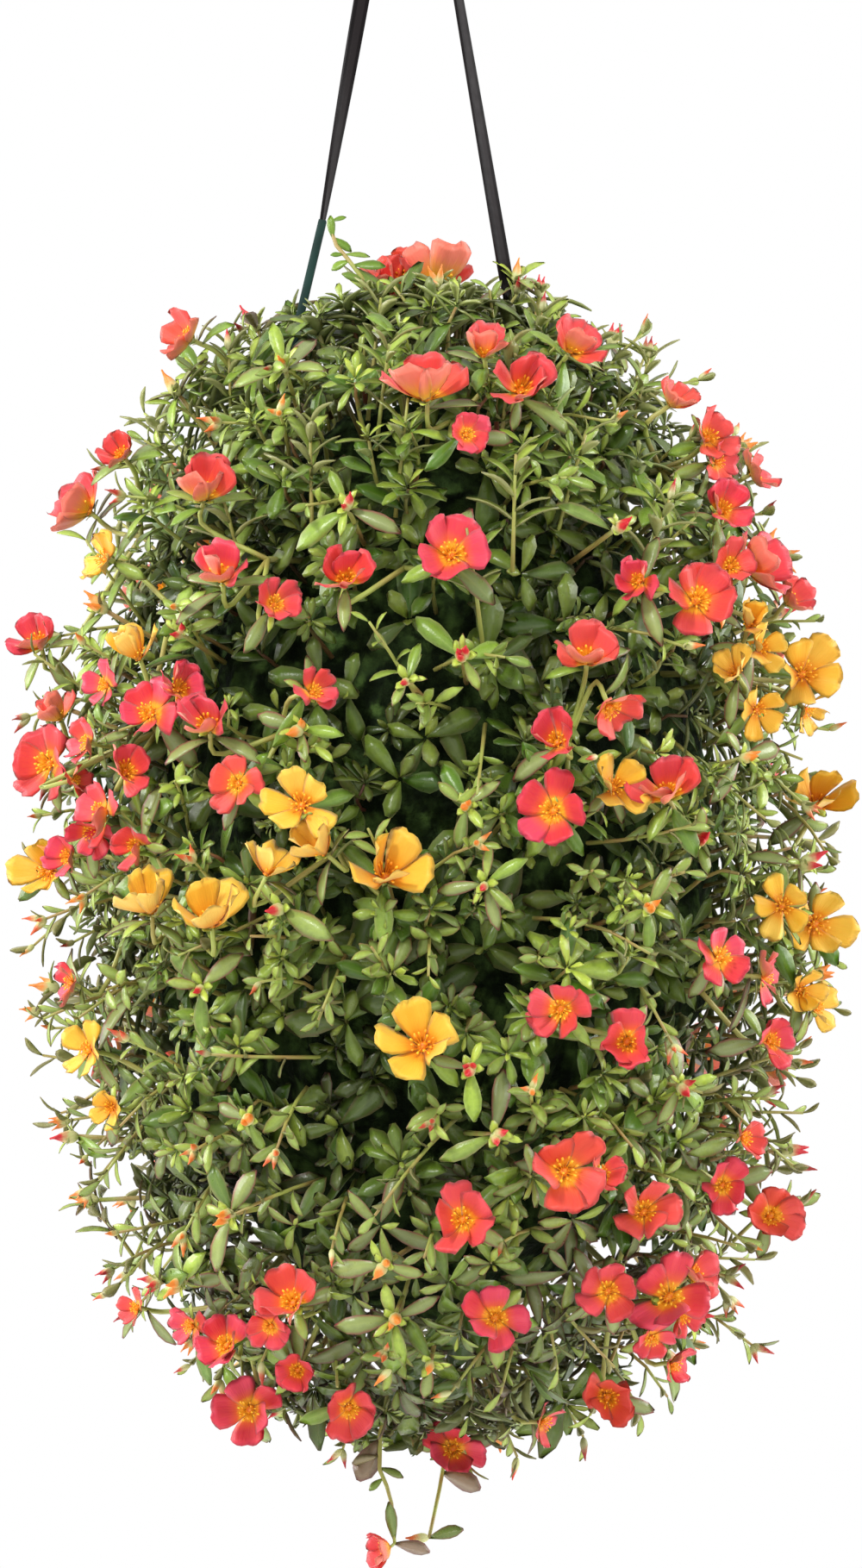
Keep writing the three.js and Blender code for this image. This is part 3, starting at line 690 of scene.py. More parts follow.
under = leaf.mix(flush * 0.85, rgb("#a3ab6c"), rgb("#80505a"))
green = leaf.mix(leaf.value_of("back") * 0.75, green, under)
# Painted shade: deep darkens leaves inside the growth, in hollows and under the ball.
leaf.lead(leaf.shade(green, 1 - deep * 0.62), "Base Color")
leaf.lead(mottle * 0.22 + 0.2, "Roughness")
leaf.bump(leaf.noise(900, 2) + aside * 0.6, 0.25, 0.0006)
FINISHES["leaf"] = leaf.material
print("leaf skin:", len(leaf.tree.nodes), "nodes")

# %% [markdown]
# ## Petal silk
# A coral petal goes from yellow at its base through orange to a deep coral, pinker at the rim. Its
# back is paler, with more yellow. Fine veins run along it. The golden petal has the same build.
# Here young says how orange a bloom is.

# %% Petal finishes
def petal_silk(name, base, middle, face, rim, back):
    silk = Finish(name, roughness=0.48, Sheen_Weight=0.15, Specular_IOR_Level=0.3,
                  Subsurface_Weight=0.12, Subsurface_Radius=(0.004, 0.0015, 0.0008))
    along = silk.sheet()[1]
    tone, orange = silk.value_of("tone"), silk.value_of("young")
    veins = silk.noise(3.5, 2, silk.node("ShaderNodeMapping", {}, {
        "Vector": silk.node("ShaderNodeUVMap", {"uv_map": "sheet"}), "Scale": (7, 0.7, 1)}))
    reach = along + (veins - 0.5) * 0.22
    colour = silk.mix(tone, rgb(face), rgb(rim))
    colour = silk.mix(along.ramp(0.72, 1.05) * 0.6, colour, rgb(rim))
    colour = silk.mix(orange * 0.42, colour, rgb(middle))
    colour = silk.mix(1 - reach.ramp(0.22, 0.62), colour, rgb(middle))
    colour = silk.mix(1 - reach.ramp(0.2, 0.36), colour, rgb(base))
    colour = silk.mix((veins - 0.5) * 0.5 + 0.05, colour, rgb(middle))
    pale = silk.mix(1 - reach.ramp(0.2, 0.75), rgb(back), rgb(base))
    colour = silk.mix(silk.value_of("back") * 0.75, colour, pale)
    silk.lead(colour, "Base Color")
    silk.bump(veins, 0.35, 0.0008)
    return silk.material


FINISHES["coral"] = petal_silk("coral_silk", "#f3ac1c", "#e6622a", "#d02433", "#d83d5b", "#e67f66")
FINISHES["yellow"] = petal_silk("yellow_silk", "#e69114", "#e9a31b", "#ebb52a", "#eec64e", "#e9be5c")
print("petal finishes made")

# %% [markdown]
# ## Stems, stamens, domes and buds
# Stems turn from yellow green near the tips to reddish brown inside, and deep darkens them with
# painted shade. Stamens run from bright yellow to orange, each by its own tone. A bud is pale green
# at its base and red or orange at its twisted tip: flush picks which.

# %% Small finishes
stalk = Finish("stem_skin", roughness=0.45)
colour = stalk.mix(stalk.value_of("young"), rgb("#7c6a3a"), rgb("#a9b858"))
colour = stalk.mix(stalk.value_of("flush") * stalk.noise(60).ramp(0.35, 0.65), colour, rgb("#9a5640"))
# Painted shade: stems inside the growth are darkened by deep.
stalk.lead(stalk.shade(colour, 1 - stalk.value_of("deep") * 0.75), "Base Color")
stalk.bump(stalk.noise(700), 0.2, 0.0005)
FINISHES["stem"] = stalk.material

tuft = Finish("stamen_yellow", roughness=0.5)
tuft.lead(tuft.mix(tuft.value_of("tone") * 0.6 + tuft.noise(500) * 0.3, rgb("#ffd02e"), rgb("#f08a1c")),
          "Base Color")
FINISHES["stamen"] = tuft.material

heart = Finish("dome_orange", roughness=0.5)
heart.lead(heart.mix(heart.noise(900).ramp(0.4, 0.6), rgb("#f2a01e"), rgb("#e4771a")), "Base Color")
heart.bump(heart.noise(1200), 0.5, 0.0006)
FINISHES["dome"] = heart.material

closed = Finish("bud_skin", roughness=0.45)
up_bud = closed.sheet()[1]
tip = closed.mix(closed.value_of("flush"), rgb("#ee8a2c"), rgb("#c8202c"))
skin = closed.mix(closed.noise(260), rgb("#b9c27a"), rgb("#d9cf9a"))
colour = closed.mix((up_bud + (closed.noise(300) - 0.5) * 0.2).ramp(0.5, 0.68), skin, tip)
closed.lead(closed.shade(colour, 1 - closed.value_of("deep") * 0.5), "Base Color")
FINISHES["bud"] = closed.material
print("finishes so far:", ", ".join(FINISHES))

# %% [markdown]
# ## Where the blooms are
# The blooms on the front are set down as they are seen: across and height in millimetres, width,
# the azimuth and elevation that they face, and how far they stand off the skin. Blooms of one row
# share a stalk. Those of the far side stand in rings by rule, and the last one hangs at the bottom.
# Each one then turns a little from the way that is set down for it.

# %% Coral blooms on the front
CORAL_SPRAYS = [
    [(-22, 266, 32, -60, 50, 4), (4, 268, 42, 150, 62, 6)],
    [(-120, 238, 30, -75, 30, 24)],
    [(69, 230, 30, 50, 45, 6), (44, 209, 34, 5, 48, 2)],
    [(-2, 206, 40, -30, 62, 4), (17, 186, 24, 30, -10, 4), (26, 227, 28, 20, 70, 4)],
    [(-172, 155, 36, -62, 28, 4), (-152, 180, 24, -30, 40, 6), (-198, 88, 30, -55, 34, 4)],
    [(-110, 158, 34, -15, 55, 4), (-101, 118, 34, -25, 50, 2), (-75, 104, 26, 30, 35, 2)],
    [(-41, 116, 30, 5, 45, 2), (10, 128, 38, 4, 8, 2)],
    [(118, 204, 24, 60, 40, 8), (136, 188, 28, 40, 30, 4), (160, 172, 26, 70, 30, 4),
     (142, 152, 28, 30, 20, 0)],
    [(129, 107, 40, 12, 4, 4), (100, 116, 26, -20, 20, 0), (157, 123, 38, 62, 26, 4),
     (176, 108, 26, 80, 20, 6)],
    [(75, 78, 34, 0, 40, 0), (86, 54, 34, 30, -35, 4), (60, 38, 32, -20, 22, 4),
     (58, 5, 36, -14, 12, 2), (114, 13, 34, -15, 30, 2)],
    [(-56, 62, 26, 45, 10, 2), (-93, 18, 30, -35, 14, 2), (-107, 46, 34, -20, 58, 4)],
    [(-136, 52, 34, -20, 12, 6), (-159, 66, 24, -50, 20, 2), (-168, 38, 26, -40, 10, 2),
     (-189, 28, 40, -28, 2, 6)],
    [(-160, 4, 34, -60, 4, 2), (-143, -12, 26, -30, 0, 2), (-178, -18, 26, -60, 0, 2),
     (-177, -80, 26, -70, 4, 2)],
    [(140, -66, 32, 20, 22, 2), (163, -76, 28, 70, 6, 4), (166, -108, 28, 40, 4, 2)],
    [(62, -90, 34, -4, 4, 2), (94, -106, 36, 6, 2, 4)],
    [(64, -168, 42, 6, 4, 4), (15, -191, 38, -4, 8, 2)],
    [(153, -155, 26, 60, 10, 2), (142, -178, 28, 10, 2, 2), (168, -196, 34, 24, 0, 8)],
    [(103, -189, 36, 8, 2, 2), (86, -228, 32, 4, 4, 0), (116, -232, 42, 10, 2, 8),
     (120, -268, 26, 60, 0, 14), (87, -284, 36, 8, -4, 12)],
    [(-67, -233, 36, -8, 20, 2), (-65, -268, 26, 0, 4, 2), (-40, -288, 32, 4, -14, 4)],
    [(-100, -256, 32, -16, 10, 8), (-90, -292, 36, -12, -8, 18), (-146, -241, 20, -60, 10, 10)],
    [(31, -240, 34, 0, 6, 2), (11, -314, 34, 0, -8, 8), (56, -298, 26, 60, -10, 8)],
]
print("coral blooms in sight:", sum(len(rows) for rows in CORAL_SPRAYS))

# %% Yellow blooms, and the small, far and last ones
YELLOW_SPRAYS = [
    [(-160, 128, 28, -50, 10, 6), (-142, 80, 28, -30, 50, 6)],
    [(-62, 8, 34, -6, 24, 4), (-22, -26, 40, -4, 22, 4), (-78, -24, 28, 50, 55, 2)],
    [(88, 16, 32, 12, 6, -8)],
    [(-4, -107, 42, 0, 14, 4)],
    [(-196, -26, 36, -24, 2, 6), (-135, -42, 34, -30, 60, 8), (-105, -48, 38, 10, 66, 6)],
    [(161, 84, 26, 30, 24, 2), (183, 72, 38, 24, 8, 8), (159, 54, 26, 30, 0, 2)],
    [(194, 8, 38, 24, 26, 4), (172, -42, 30, 10, 0, 2), (196, -52, 38, 14, 2, 8),
     (190, -92, 26, 60, 0, 8)],
    [(-168, -112, 28, -50, 4, 4), (-156, -140, 22, -40, 0, 2)],
]
# Small or half hidden blooms that share the stalk of a front spray: its kind and number, then a row
SMALL_BLOOMS = [
    ("coral", 12, (-122, 64, 26, 20, 30, 0)), ("coral", 12, (-174, 20, 18, 60, 10, 4)),
    ("coral", 12, (-148, 24, 30, 10, 35, 4)), ("coral", 13, (-166, -6, 26, -30, -20, 2)),
    ("coral", 12, (-184, 51, 24, -50, 55, 0)), ("coral", 8, (141, 176, 22, 60, 10, 0)),
    ("coral", 9, (146, 124, 28, 30, 20, 2)), ("coral", 18, (128, -222, 28, 50, 20, 2)),
    ("coral", 18, (124, -243, 26, 50, -20, 4)), ("coral", 18, (108, -254, 24, 10, -30, 4)),
    ("coral", 16, (82, -170, 26, 40, 10, 2)), ("coral", 19, (-78, -246, 24, -30, -10, 2)),
    ("coral", 20, (-118, -248, 24, -50, 10, 4)), ("coral", 1, (-14, 270, 28, -20, 30, 2)),
    ("yellow", 6, (155, 96, 24, 20, 40, 2)), ("yellow", 6, (148, 72, 22, -30, 30, 2)),
    ("yellow", 6, (186, 54, 24, 60, -30, 2)), ("yellow", 7, (182, -84, 24, 20, 0, 2)),
    ("yellow", 2, (-52, -14, 30, -50, 30, 2)),
]
FAR_SPRAYS = [(135, 118, "coral"), (218, 140, "coral"), (178, 0, "yellow"), (134, -120, "coral"),
              (222, -130, "coral")]
FAR_RING = {"blooms": 5, "radius": 58, "near": 0.72, "turn": 37, "width": 38, "lift": 4}
LAST_BLOOM, LAST_WIDTH = (-22, -40, -360), 27
print("yellow blooms in sight:", sum(len(rows) for rows in YELLOW_SPRAYS))

# %% From the lists to places
def front_spray(rows):
    """Place, facing and radius of each bloom in the rows."""
    return [(front_place(across * MM, height * MM, lift * MM), heading(azimuth, elevation),
             width * MM / 2) for across, height, width, azimuth, elevation, lift in rows]


def far_spray(azimuth, height, index):
    """A ring of blooms on the far side, every second one nearer to the one in its middle."""
    blooms = []
    for i in range(FAR_RING["blooms"] + 1):
        turn = math.radians(360 / FAR_RING["blooms"] * i + FAR_RING["turn"] * index)
        out = FAR_RING["radius"] * (1 if i % 2 else FAR_RING["near"])
        out = 0 if i == FAR_RING["blooms"] else out
        up = height + out * math.sin(turn)
        side = azimuth + math.degrees(out * math.cos(turn) * MM / bush_radius(up * MM))
        place = shell_place(side, up * MM, FAR_RING["lift"] * MM)
        blooms.append((place, heading(side, 12 + 0.14 * up), FAR_RING["width"] * MM / 2))
    return blooms


SPRAYS = []
facing_draw = random.Random(SEEDS["facings"])


def add_spray(kind, blooms):
    number = sum(spray[0] == kind for spray in SPRAYS) + 1
    turned = [(place, (facing + shake(facing_draw, 0.2)).normalized(), radius)
              for place, facing, radius in blooms]
    SPRAYS.append((kind, f"{number:02d}", turned))


for kind, sprays in (("coral", CORAL_SPRAYS), ("yellow", YELLOW_SPRAYS)):
    for number, rows in enumerate(sprays, 1):
        small = [row for other, spray, row in SMALL_BLOOMS if (other, spray) == (kind, number)]
        add_spray(kind, front_spray(rows + small))
for i, (azimuth, height, kind) in enumerate(FAR_SPRAYS):
    add_spray(kind, far_spray(azimuth, height, i))
add_spray("coral", [(place_mm(*LAST_BLOOM), heading(-66, -14), LAST_WIDTH * MM / 2)])

every_bloom = [bloom for spray in SPRAYS for bloom in spray[2]]
BLOOM_PLACES, BLOOM_FACINGS, BLOOM_RADII = (np.array(values) for values in zip(*every_bloom))
BLOOM_IN_FRONT = BLOOM_PLACES[:, 1] < -0.03
print(len(SPRAYS), "sprays,", len(every_bloom), "blooms")

# %% [markdown]
# ## Putting a bloom together
# Five petals, on a coral bloom now and then six, stand round the dome, each a little different in
# size, turn, tilt and ruffle. Blooms that face up are deep cups, and those that face outwards lie
# open. Under each one are small sepals and a ring of long leaves with red edges, and a stalk leads
# back to the spray's fork inside the growth.

# %% One bloom
STAMENS = 16
TOP_BLOOMS = 0.19       # above this height blooms are more orange
# The least and the most length and width of a petal, in radii of its bloom
PETAL_SIZES = {"coral": ((0.84, 1.1), (0.8, 1.04)), "yellow": ((0.98, 1.18), (0.78, 0.98))}


def set_petal(growth, draw, kind, place, along, up, length, width, orange):
    shape = PETALS[kind]
    points = shape.points.copy()
    wave = 0.085 * np.sin(points[:, 0] * 9 + draw.uniform(0, FULL_TURN)) * points[:, 1] ** 2
    curl = draw.uniform(-0.1, 0.2) * (points[:, 0] * 2) ** 2 * points[:, 1]
    points[:, 2] += wave + curl
    placed = laid(points, frame_of(place, along, up, width, length, length))
    growth.add(shape, placed, kind, tone=draw.random(), young=orange)


def bloom(growth, draw, kind, place, facing, radius, closed):
    """A bloom of a radius. Its petals rise by closed degrees more than an open one's."""
    upward = min(1, max(0, (facing.z - 0.25) / 0.35))
    cup = 16 + 22 * upward + draw.uniform(-5, 5) + closed
    radius *= 1 + 0.16 * upward
    orange = min(1, draw.random() ** 1.5 + (0.5 if place.z > TOP_BLOOMS - RIM_DROP else 0))
    petals = 6 if kind == "coral" and draw.random() < 0.15 else 5
    lengths, widths = PETAL_SIZES[kind]
    spin = draw.uniform(0, FULL_TURN)
    for i in range(petals):
        radial = side_direction(facing, spin + 2 * math.pi * i / petals + draw.uniform(-0.19, 0.19))
        rise = math.radians(cup + draw.uniform(-22, 26))
        along, up = tilted(radial, facing, rise), tilted(facing, -radial, rise)
        up += along.cross(up) * math.tan(math.radians(draw.uniform(-8, 26)))
        length, width = radius * draw.uniform(*lengths), radius * draw.uniform(*widths)
        base = place + radial * radius * 0.05 - facing * radius * 0.12
        set_petal(growth, draw, kind, base, along, up, length, width, orange)
    for i in range(STAMENS):
        radial = side_direction(facing, i * math.radians(GOLDEN_ANGLE))
        lean = math.radians(8 + 42 * math.sqrt(i / STAMENS))
        along = tilted(facing, radial, lean)
        length = radius * draw.uniform(0.28, 0.38)
        base = place + radial * radius * 0.05 - facing * radius * 0.08
        aside = along.cross(radial + facing * 0.3)
        growth.place(STAMEN, frame_of(base, aside, along, length, length, length), "stamen",
                     tone=draw.random())
    growth.place(DOME, frame_of(place - facing * radius * 0.1, facing.orthogonal(), facing,
                                radius * 0.11, radius * 0.15, radius * 0.16), "dome")


print("stamens in a bloom:", STAMENS)

# %% Leaves under a bloom, and its place
BLOOM_MARGIN = 0.0005               # petals stay this far inside the solids' box
FORK_HEIGHTS = (-0.705, -0.42)      # stalks lead to the ball's axis between these heights


def bloom_leaves(growth, draw, place, facing, radius):
    """Three small sepals and a ring of long leaves under a bloom."""
    for _ in range(3):
        radial = side_direction(facing, draw.uniform(0, FULL_TURN))
        along = (radial + facing * 0.8).normalized()
        set_leaf(growth, SMALL_LEAF, place - facing * radius * 0.3, along, facing - radial,
                 radius * 0.45, radius * 0.25, tone=0.8, young=0.8, flush=0.3)
    rosette(growth, draw, place - facing * (radius * 0.35 + 0.002), facing, LEAF, 0.027, 5, width=0.33,
            low=-12, high=22, flush=0.9)


def keep_in_box(growth, first):
    """Moves the copies from a number on back inside the solids' box, and says how far."""
    points = np.concatenate([copy[1] for copy in growth.copies[first:]])
    low, high = np.array(CAD_BOX[0]) + BLOOM_MARGIN, np.array(CAD_BOX[1]) - BLOOM_MARGIN
    shift = np.maximum(low - points.min(0), 0) + np.minimum(high - points.max(0), 0)
    growth.copies[first:] = [(shape, placed + shift, finish, tags)
                             for shape, placed, finish, tags in growth.copies[first:]]
    return Vector(shift)


def fork_of(blooms):
    """Where a spray's stalk forks, and the direction from there to the ball's axis."""
    middle = sum((bloom[0] for bloom in blooms), Vector()) / len(blooms)
    low, high = FORK_HEIGHTS
    axis = Vector((BUSH["side"], 0, min(max(middle.z, low), high)))
    inward = (axis - middle).normalized()
    return middle + inward * 0.03, inward


print("stalks lead to the axis between", FORK_HEIGHTS)

# %% Blooms on their stalks
LAST_FORK = Vector((-0.008, -0.036, -0.9258))
bloom_growths = {}
for index, (kind, number, blooms) in enumerate(SPRAYS):
    draw = random.Random(SEEDS["blooms"] + index)
    growth = bloom_growths[f"{kind}_blooms_{number}"] = Growth()
    fork, inward = fork_of(blooms)
    last = index == len(SPRAYS) - 1
    if last:
        fork = LAST_FORK
    else:
        # The stalk to the fork is darkened with painted shade (deep 0.5), as it lies inside.
        lead_stem(growth, TWIG, [fork + inward * 0.04, fork], 0.0018, 0.0016, young=0.4, deep=0.5)
    for place, facing, radius in blooms:
        first = len(growth.copies)
        bloom(growth, draw, kind, place, facing, radius, closed=12 if last else 0)
        place = place + keep_in_box(growth, first)
        below = place - facing * radius * 0.15
        if last:
            lead_stem(growth, TWIG, [fork, below], 0.0008, 0.0008, young=0.6)
            continue
        bloom_leaves(growth, draw, place, facing, radius)
        middle = below - facing * min(0.016, (below - fork).length * 0.5)
        lead_stem(growth, STEM, [fork, middle, below], 0.0014, 0.0012, young=0.85, flush=0.4)
print("blooms:", sum(growth.triangles() for growth in bloom_growths.values()), "triangles")

# %% [markdown]
# ## Even places over the whole ball
# The leafy surface is about a thousand shoots. They could be strewn at random, but then they clump.
# So they are spread by equal areas of the ball's skin and by the golden angle, as a plant spreads
# its leaves, with a small random shift. The same places always get the same shoots, because every
# draw has its seed. A shoot belongs to the rooted stem whose part of the ball it stands in.

# %% Even places on the ball's skin
STEPS = 400
USUAL_RADIUS = 0.17
HEIGHTS = np.linspace(BUSH["middle"] - BUSH["half_height"],
                      BUSH["middle"] + BUSH["half_height"], STEPS)
RADII = np.array([bush_radius(height) for height in HEIGHTS])
SLANTS = np.hypot(np.diff(RADII), np.diff(HEIGHTS)) * (RADII[1:] + RADII[:-1])
SHARES = np.append(0, np.cumsum(SLANTS)) / SLANTS.sum()


def skin_places(count, draw, jitter):
    """Azimuths and heights spread evenly over the skin, each shifted by up to the jitter."""
    for i in range(count):
        height = float(np.interp((i + 0.5) / count, SHARES, HEIGHTS)) + draw.uniform(-jitter, jitter)
        azimuth = (i * GOLDEN_ANGLE) % 360 + math.degrees(draw.uniform(-jitter, jitter) / USUAL_RADIUS)
        yield azimuth, min(max(height, HEIGHTS[1]), HEIGHTS[-2])


def skin_normal(azimuth, height):
    """The direction square to the skin, from how fast the radius changes with the height."""
    step = 0.004
    slope = (bush_radius(height + step) - bush_radius(height - step)) / (2 * step)
    turn = math.radians(azimuth)
    return Vector((math.sin(turn), -math.cos(turn), -slope)).normalized()


print("radius of the skin, at most:", round(float(RADII.max()), 3))

# %% One growth for each rooted stem
# Each tier: how many stems, the azimuth of the first, and the lowest height of their growth
TIERS = [("crown", 4, 45, 0.09), ("belt", 5, 0, -0.04), ("skirt", 5, 36, -0.178),
         ("trailing", 4, 45, -1)]
leafy_growths = {f"{tier}_growth_{i + 1}": Growth() for tier, count, _, _ in TIERS
                 for i in range(count)}


def growth_at(azimuth, height):
    tier, count, first = next(tier[:3] for tier in TIERS if height >= tier[3])
    return leafy_growths[f"{tier}_growth_{round((azimuth - first) * count / 360) % count + 1}"]


def leafy_triangles():
    return sum(growth.triangles() for growth in leafy_growths.values())


print("leafy pieces:", len(leafy_growths))

# %% [markdown]
# ## One shoot
# A shoot comes from inside, bends up towards the light, carries leaves on its way and ends in a
# rosette with a yellow green heart. The deeper it ends below the skin, the more painted shade darkens
# it.

# %% A shoot with leaves
SIDE_LEAVES = 4


def underneath(height):
    """The underside of the ball is in its own shade."""
    return 0.5 * min(1, max(0, -0.18 - height) / 0.06)


def shoot(growth, draw, azimuth, height, inset, size, top_leaves, look):
    """A shoot whose tip lies inset below the skin, with leaves of about a size."""
    normal = skin_normal(azimuth, height)
    place = shell_place(azimuth, height, -inset)
    lift = 0.45 if height > -0.1 else 0.1
    facing = (normal + Vector((0, 0, lift)) + shake(draw, 0.6)).normalized()
    root = place - normal * draw.uniform(0.026, 0.04) - Vector((0, 0, 0.012))
    path = [root, place - facing * 0.014, place]
    # deep is painted shade: it grows with the tip's depth below the skin, so hollows and dents are
    # painted darker, and with the ball's underside. Side leaves lower on the shoot get more of it.
    deep = min(1.2, max(0, inset - 0.006) / 0.03 + underneath(height))
    lead_stem(growth, TWIG, path, 0.0013, 0.0008, young=0.75 - deep * 0.5, flush=draw.random(),
              deep=deep)
    rosette(growth, draw, place, facing, SMALL_LEAF, size, top_leaves, deep=deep, **look)
    spin = draw.uniform(0, FULL_TURN)
    for i in range(SIDE_LEAVES):
        share = 0.35 + 0.55 * (i + 0.5) / SIDE_LEAVES
        spot, direction = curve_point(path, share)
        radial = side_direction(direction, spin + i * math.radians(GOLDEN_ANGLE))
        along = (radial + direction * draw.uniform(0.2, 0.8)).normalized()
        length = size * draw.uniform(1.05, 1.4)
        if leaf_fits(spot, along, length):
            set_leaf(growth, LEAF, spot, along, direction - radial, length,
                     length * draw.uniform(0.34, 0.44), tone=draw.random() * 0.8,
                     flush=look["flush"] * draw.random() * 0.6, deep=min(1, deep + 0.25 * (1 - share)))


def leaf_look(draw, azimuth, height, inset):
    """Young and bright at the top, greyer with redder edges further down, and lighter in patches."""
    low = min(1, max(0, (0.15 - height) / 0.4))
    patch = noise.noise(shell_place(azimuth, height, 0) * 13 + Vector((7, 3, 1)))
    young = (draw.uniform(0.0, 0.6) * (1 - 0.45 * low) + 0.5 * patch) * max(0.2, 1 - inset / 0.04)
    width = draw.uniform(0.3, 0.44)
    return {"young": min(0.9, max(0, young)), "flush": 0.15 + 0.45 * low, "width": width}


print("shoots carry", SIDE_LEAVES, "leaves below their rosette")

# %% [markdown]
# ## Hollows, dents and loose growth
# The plant isn't an even ball. On the front, dark hollows are seen between the shoots, and the
# outline has dents. Both are listed where they are seen, and slow noise gives more of them all
# round. Growth lies deeper there and is missing in part, and it is looser at the left and right,
# where the photo shows white gaps, and towards the bottom.

# %% Hollows and dents
# Each one: across, height, radius and depth. The first hollow is wide and shallow.
HOLLOWS = [(0, 84, 92, 17), (-30, 46, 36, 45), (64, 128, 38, 45), (-52, -126, 38, 45),
           (-73, -172, 24, 45), (9, -154, 26, 45), (-13, 20, 24, 45), (-86, 96, 22, 45),
           (104, 66, 20, 40), (24, 150, 22, 45), (110, -90, 16, 40), (-110, 10, 18, 40),
           (-40, 150, 24, 45), (30, 60, 20, 45), (-70, 50, 20, 40), (20, -60, 20, 36)]
DENTS = [(-186, -132, 30, 19), (-172, -175, 34, 26), (-160, -212, 26, 20), (183, -140, 34, 20),
         (172, -180, 26, 18), (162, -214, 28, 26), (120, 238, 44, 34), (88, 256, 26, 24),
         (160, 196, 22, 12), (-75, 262, 26, 20), (-150, 200, 26, 16), (-194, -55, 34, 16),
         (-176, 140, 30, 13), (180, 140, 26, 10)]
BOTTOM = -0.19          # the underside of the ball starts at this height
HOLLOW_FROM = 0.011     # growth may be missing where it lies this much deeper
LOOSE_FROM = 0.6        # the sides are loose from this share of the way to the left or right
LOOSE_SHARE = 0.48      # of the growth that is missing where it is loosest


def hollow_depth(azimuth, height):
    """The growth has lumps and hollows, about a hand's width apart."""
    place = shell_place(azimuth, height, 0)
    depth = (0.05 if height > -0.03 else 0.036) * max(0, noise.noise(place * 19) - 0.04)
    for across, level, radius, most in (HOLLOWS if place.y < 0 else []) + DENTS:
        away = math.hypot(place.x - BUSH["side"] - across * MM, height - level * MM) / (radius * MM)
        depth = max(depth, most * MM * math.exp(-away ** 2))
    return depth


def is_bare(draw, azimuth, height, share):
    """Whether growth is missing here: by the share in a hollow or dent, or where it is loose."""
    aside = abs(math.sin(math.radians(azimuth)))
    loose = max(0, (aside - LOOSE_FROM) / (1 - LOOSE_FROM), (BOTTOM - height) / 0.08)
    hollow = hollow_depth(azimuth, height) > HOLLOW_FROM
    return draw.random() < max(share if hollow else 0, LOOSE_SHARE * min(1, loose))


print(len(HOLLOWS), "hollows and", len(DENTS), "dents")

# %% [markdown]
# ## Planting the shoots
# Every place gets a shoot at its own depth, so that one sees between them. Under the ball, half of
# them are open stars of long leaves, darkened with painted shade. Larger rosettes, darkened with
# painted shade, fill the ball further in, so that one doesn't see through it.

# %% Plant shoots and deep rosettes
SHOOTS, DEEP_ROSETTES = 1100, 380
draw = random.Random(SEEDS["shoots"])
for azimuth, height in skin_places(SHOOTS, draw, 0.011):
    depth = 0.03 if height > 0.03 else 0.024
    inset = min(0.048, 0.003 + depth * draw.random() ** 1.1 + hollow_depth(azimuth, height))
    if is_bare(draw, azimuth, height, 0.45):
        continue
    size = draw.uniform(0.0115, 0.0205) * (1.12 if height < -0.16 else 1)
    size *= 1 + 0.5 * noise.noise(shell_place(azimuth, height, 0) * 25)
    growth, place = growth_at(azimuth, height), shell_place(azimuth, height, -inset)
    # Stars under the ball are darkened with painted shade through deep.
    if height < BOTTOM and draw.random() < 0.5:
        rosette(growth, draw, place, skin_normal(azimuth, height), LEAF, draw.uniform(0.024, 0.031), 6,
                width=0.32, low=-30, high=30, flush=0.9, deep=draw.random() * 0.4 + underneath(height))
    elif leaf_allowed(place, place):
        shoot(growth, draw, azimuth, height, inset, size, draw.choice((8, 9, 10)),
              leaf_look(draw, azimuth, height, inset))
# Deep rosettes: deep 0.85 paints them dark with shade.
for azimuth, height in skin_places(DEEP_ROSETTES, draw, 0.014):
    if height > BOTTOM or draw.random() < 0.6:
        place = shell_place(azimuth, height, -draw.uniform(0.034, 0.046))
        rosette(growth_at(azimuth, height), draw, place, skin_normal(azimuth, height), SMALL_LEAF,
                0.028, 5, width=0.44, low=0, high=50, flush=0.2, deep=0.85)
print("shoots:", leafy_triangles(), "triangles")

# %% [markdown]
# ## Bud stars
# Between the rosettes stand flowering shoots that have no open bloom now. Three to six long leaves
# with red edges spread like a star round a cluster of buds or faded blooms. Those on the front
# stand where they are seen, and the others are spread evenly.

# %% Where stars are seen
STARS_IN_FRONT = [
    (-71, 219), (42, 267), (15, 78), (-11, 67), (-71, -42), (17, 7), (26, -30), (19, -118),
    (-88, -144), (-22, -213), (-40, 150), (88, 140), (-62, 44), (128, -10), (104, -42), (-110, -80),
    (120, -128), (-96, -190), (30, -150), (-120, 90), (150, 30), (0, -262), (-18, -240), (-120, -225),
]
print("bud stars listed:", len(STARS_IN_FRONT))

# %% Plant the bud stars
def set_bud(growth, place, along, width, length, **tags):
    matrix = frame_of(place, along.orthogonal(), along, width, width, length)
    growth.place(BUD, matrix, "bud", **tags)


def bud_star(growth, draw, place, facing, size):
    lead_stem(growth, TWIG, [place - facing * 0.045, place - facing * 0.02, place], 0.0014, 0.0012,
              young=0.7, flush=0.6)
    rosette(growth, draw, place, facing, LEAF, size, draw.choice((3, 4, 5, 6)), width=0.33,
            low=draw.uniform(-25, 5), high=draw.uniform(15, 50), young=0.05, flush=0.95)
    red = draw.random() < 0.6
    for i in range(draw.choice((1, 2, 2, 3))):
        along = (facing + side_direction(facing, i * 2.4 + 0.5) * draw.uniform(0.1, 0.5)).normalized()
        length = draw.uniform(0.007, 0.011)
        set_bud(growth, place, along, length * 0.62, length, flush=1 if red else 0.1)
    for i in range(3):
        along = (facing + side_direction(facing, i * 2.1 + 0.2) * 0.6).normalized()
        set_leaf(growth, SMALL_LEAF, place, along, facing, size * 0.34, size * 0.16, tone=0.9,
                 young=0.75, flush=0.3)


def near_bloom(place, room):
    return (np.linalg.norm(BLOOM_PLACES - np.array(place), axis=1) < BLOOM_RADII + room).any()


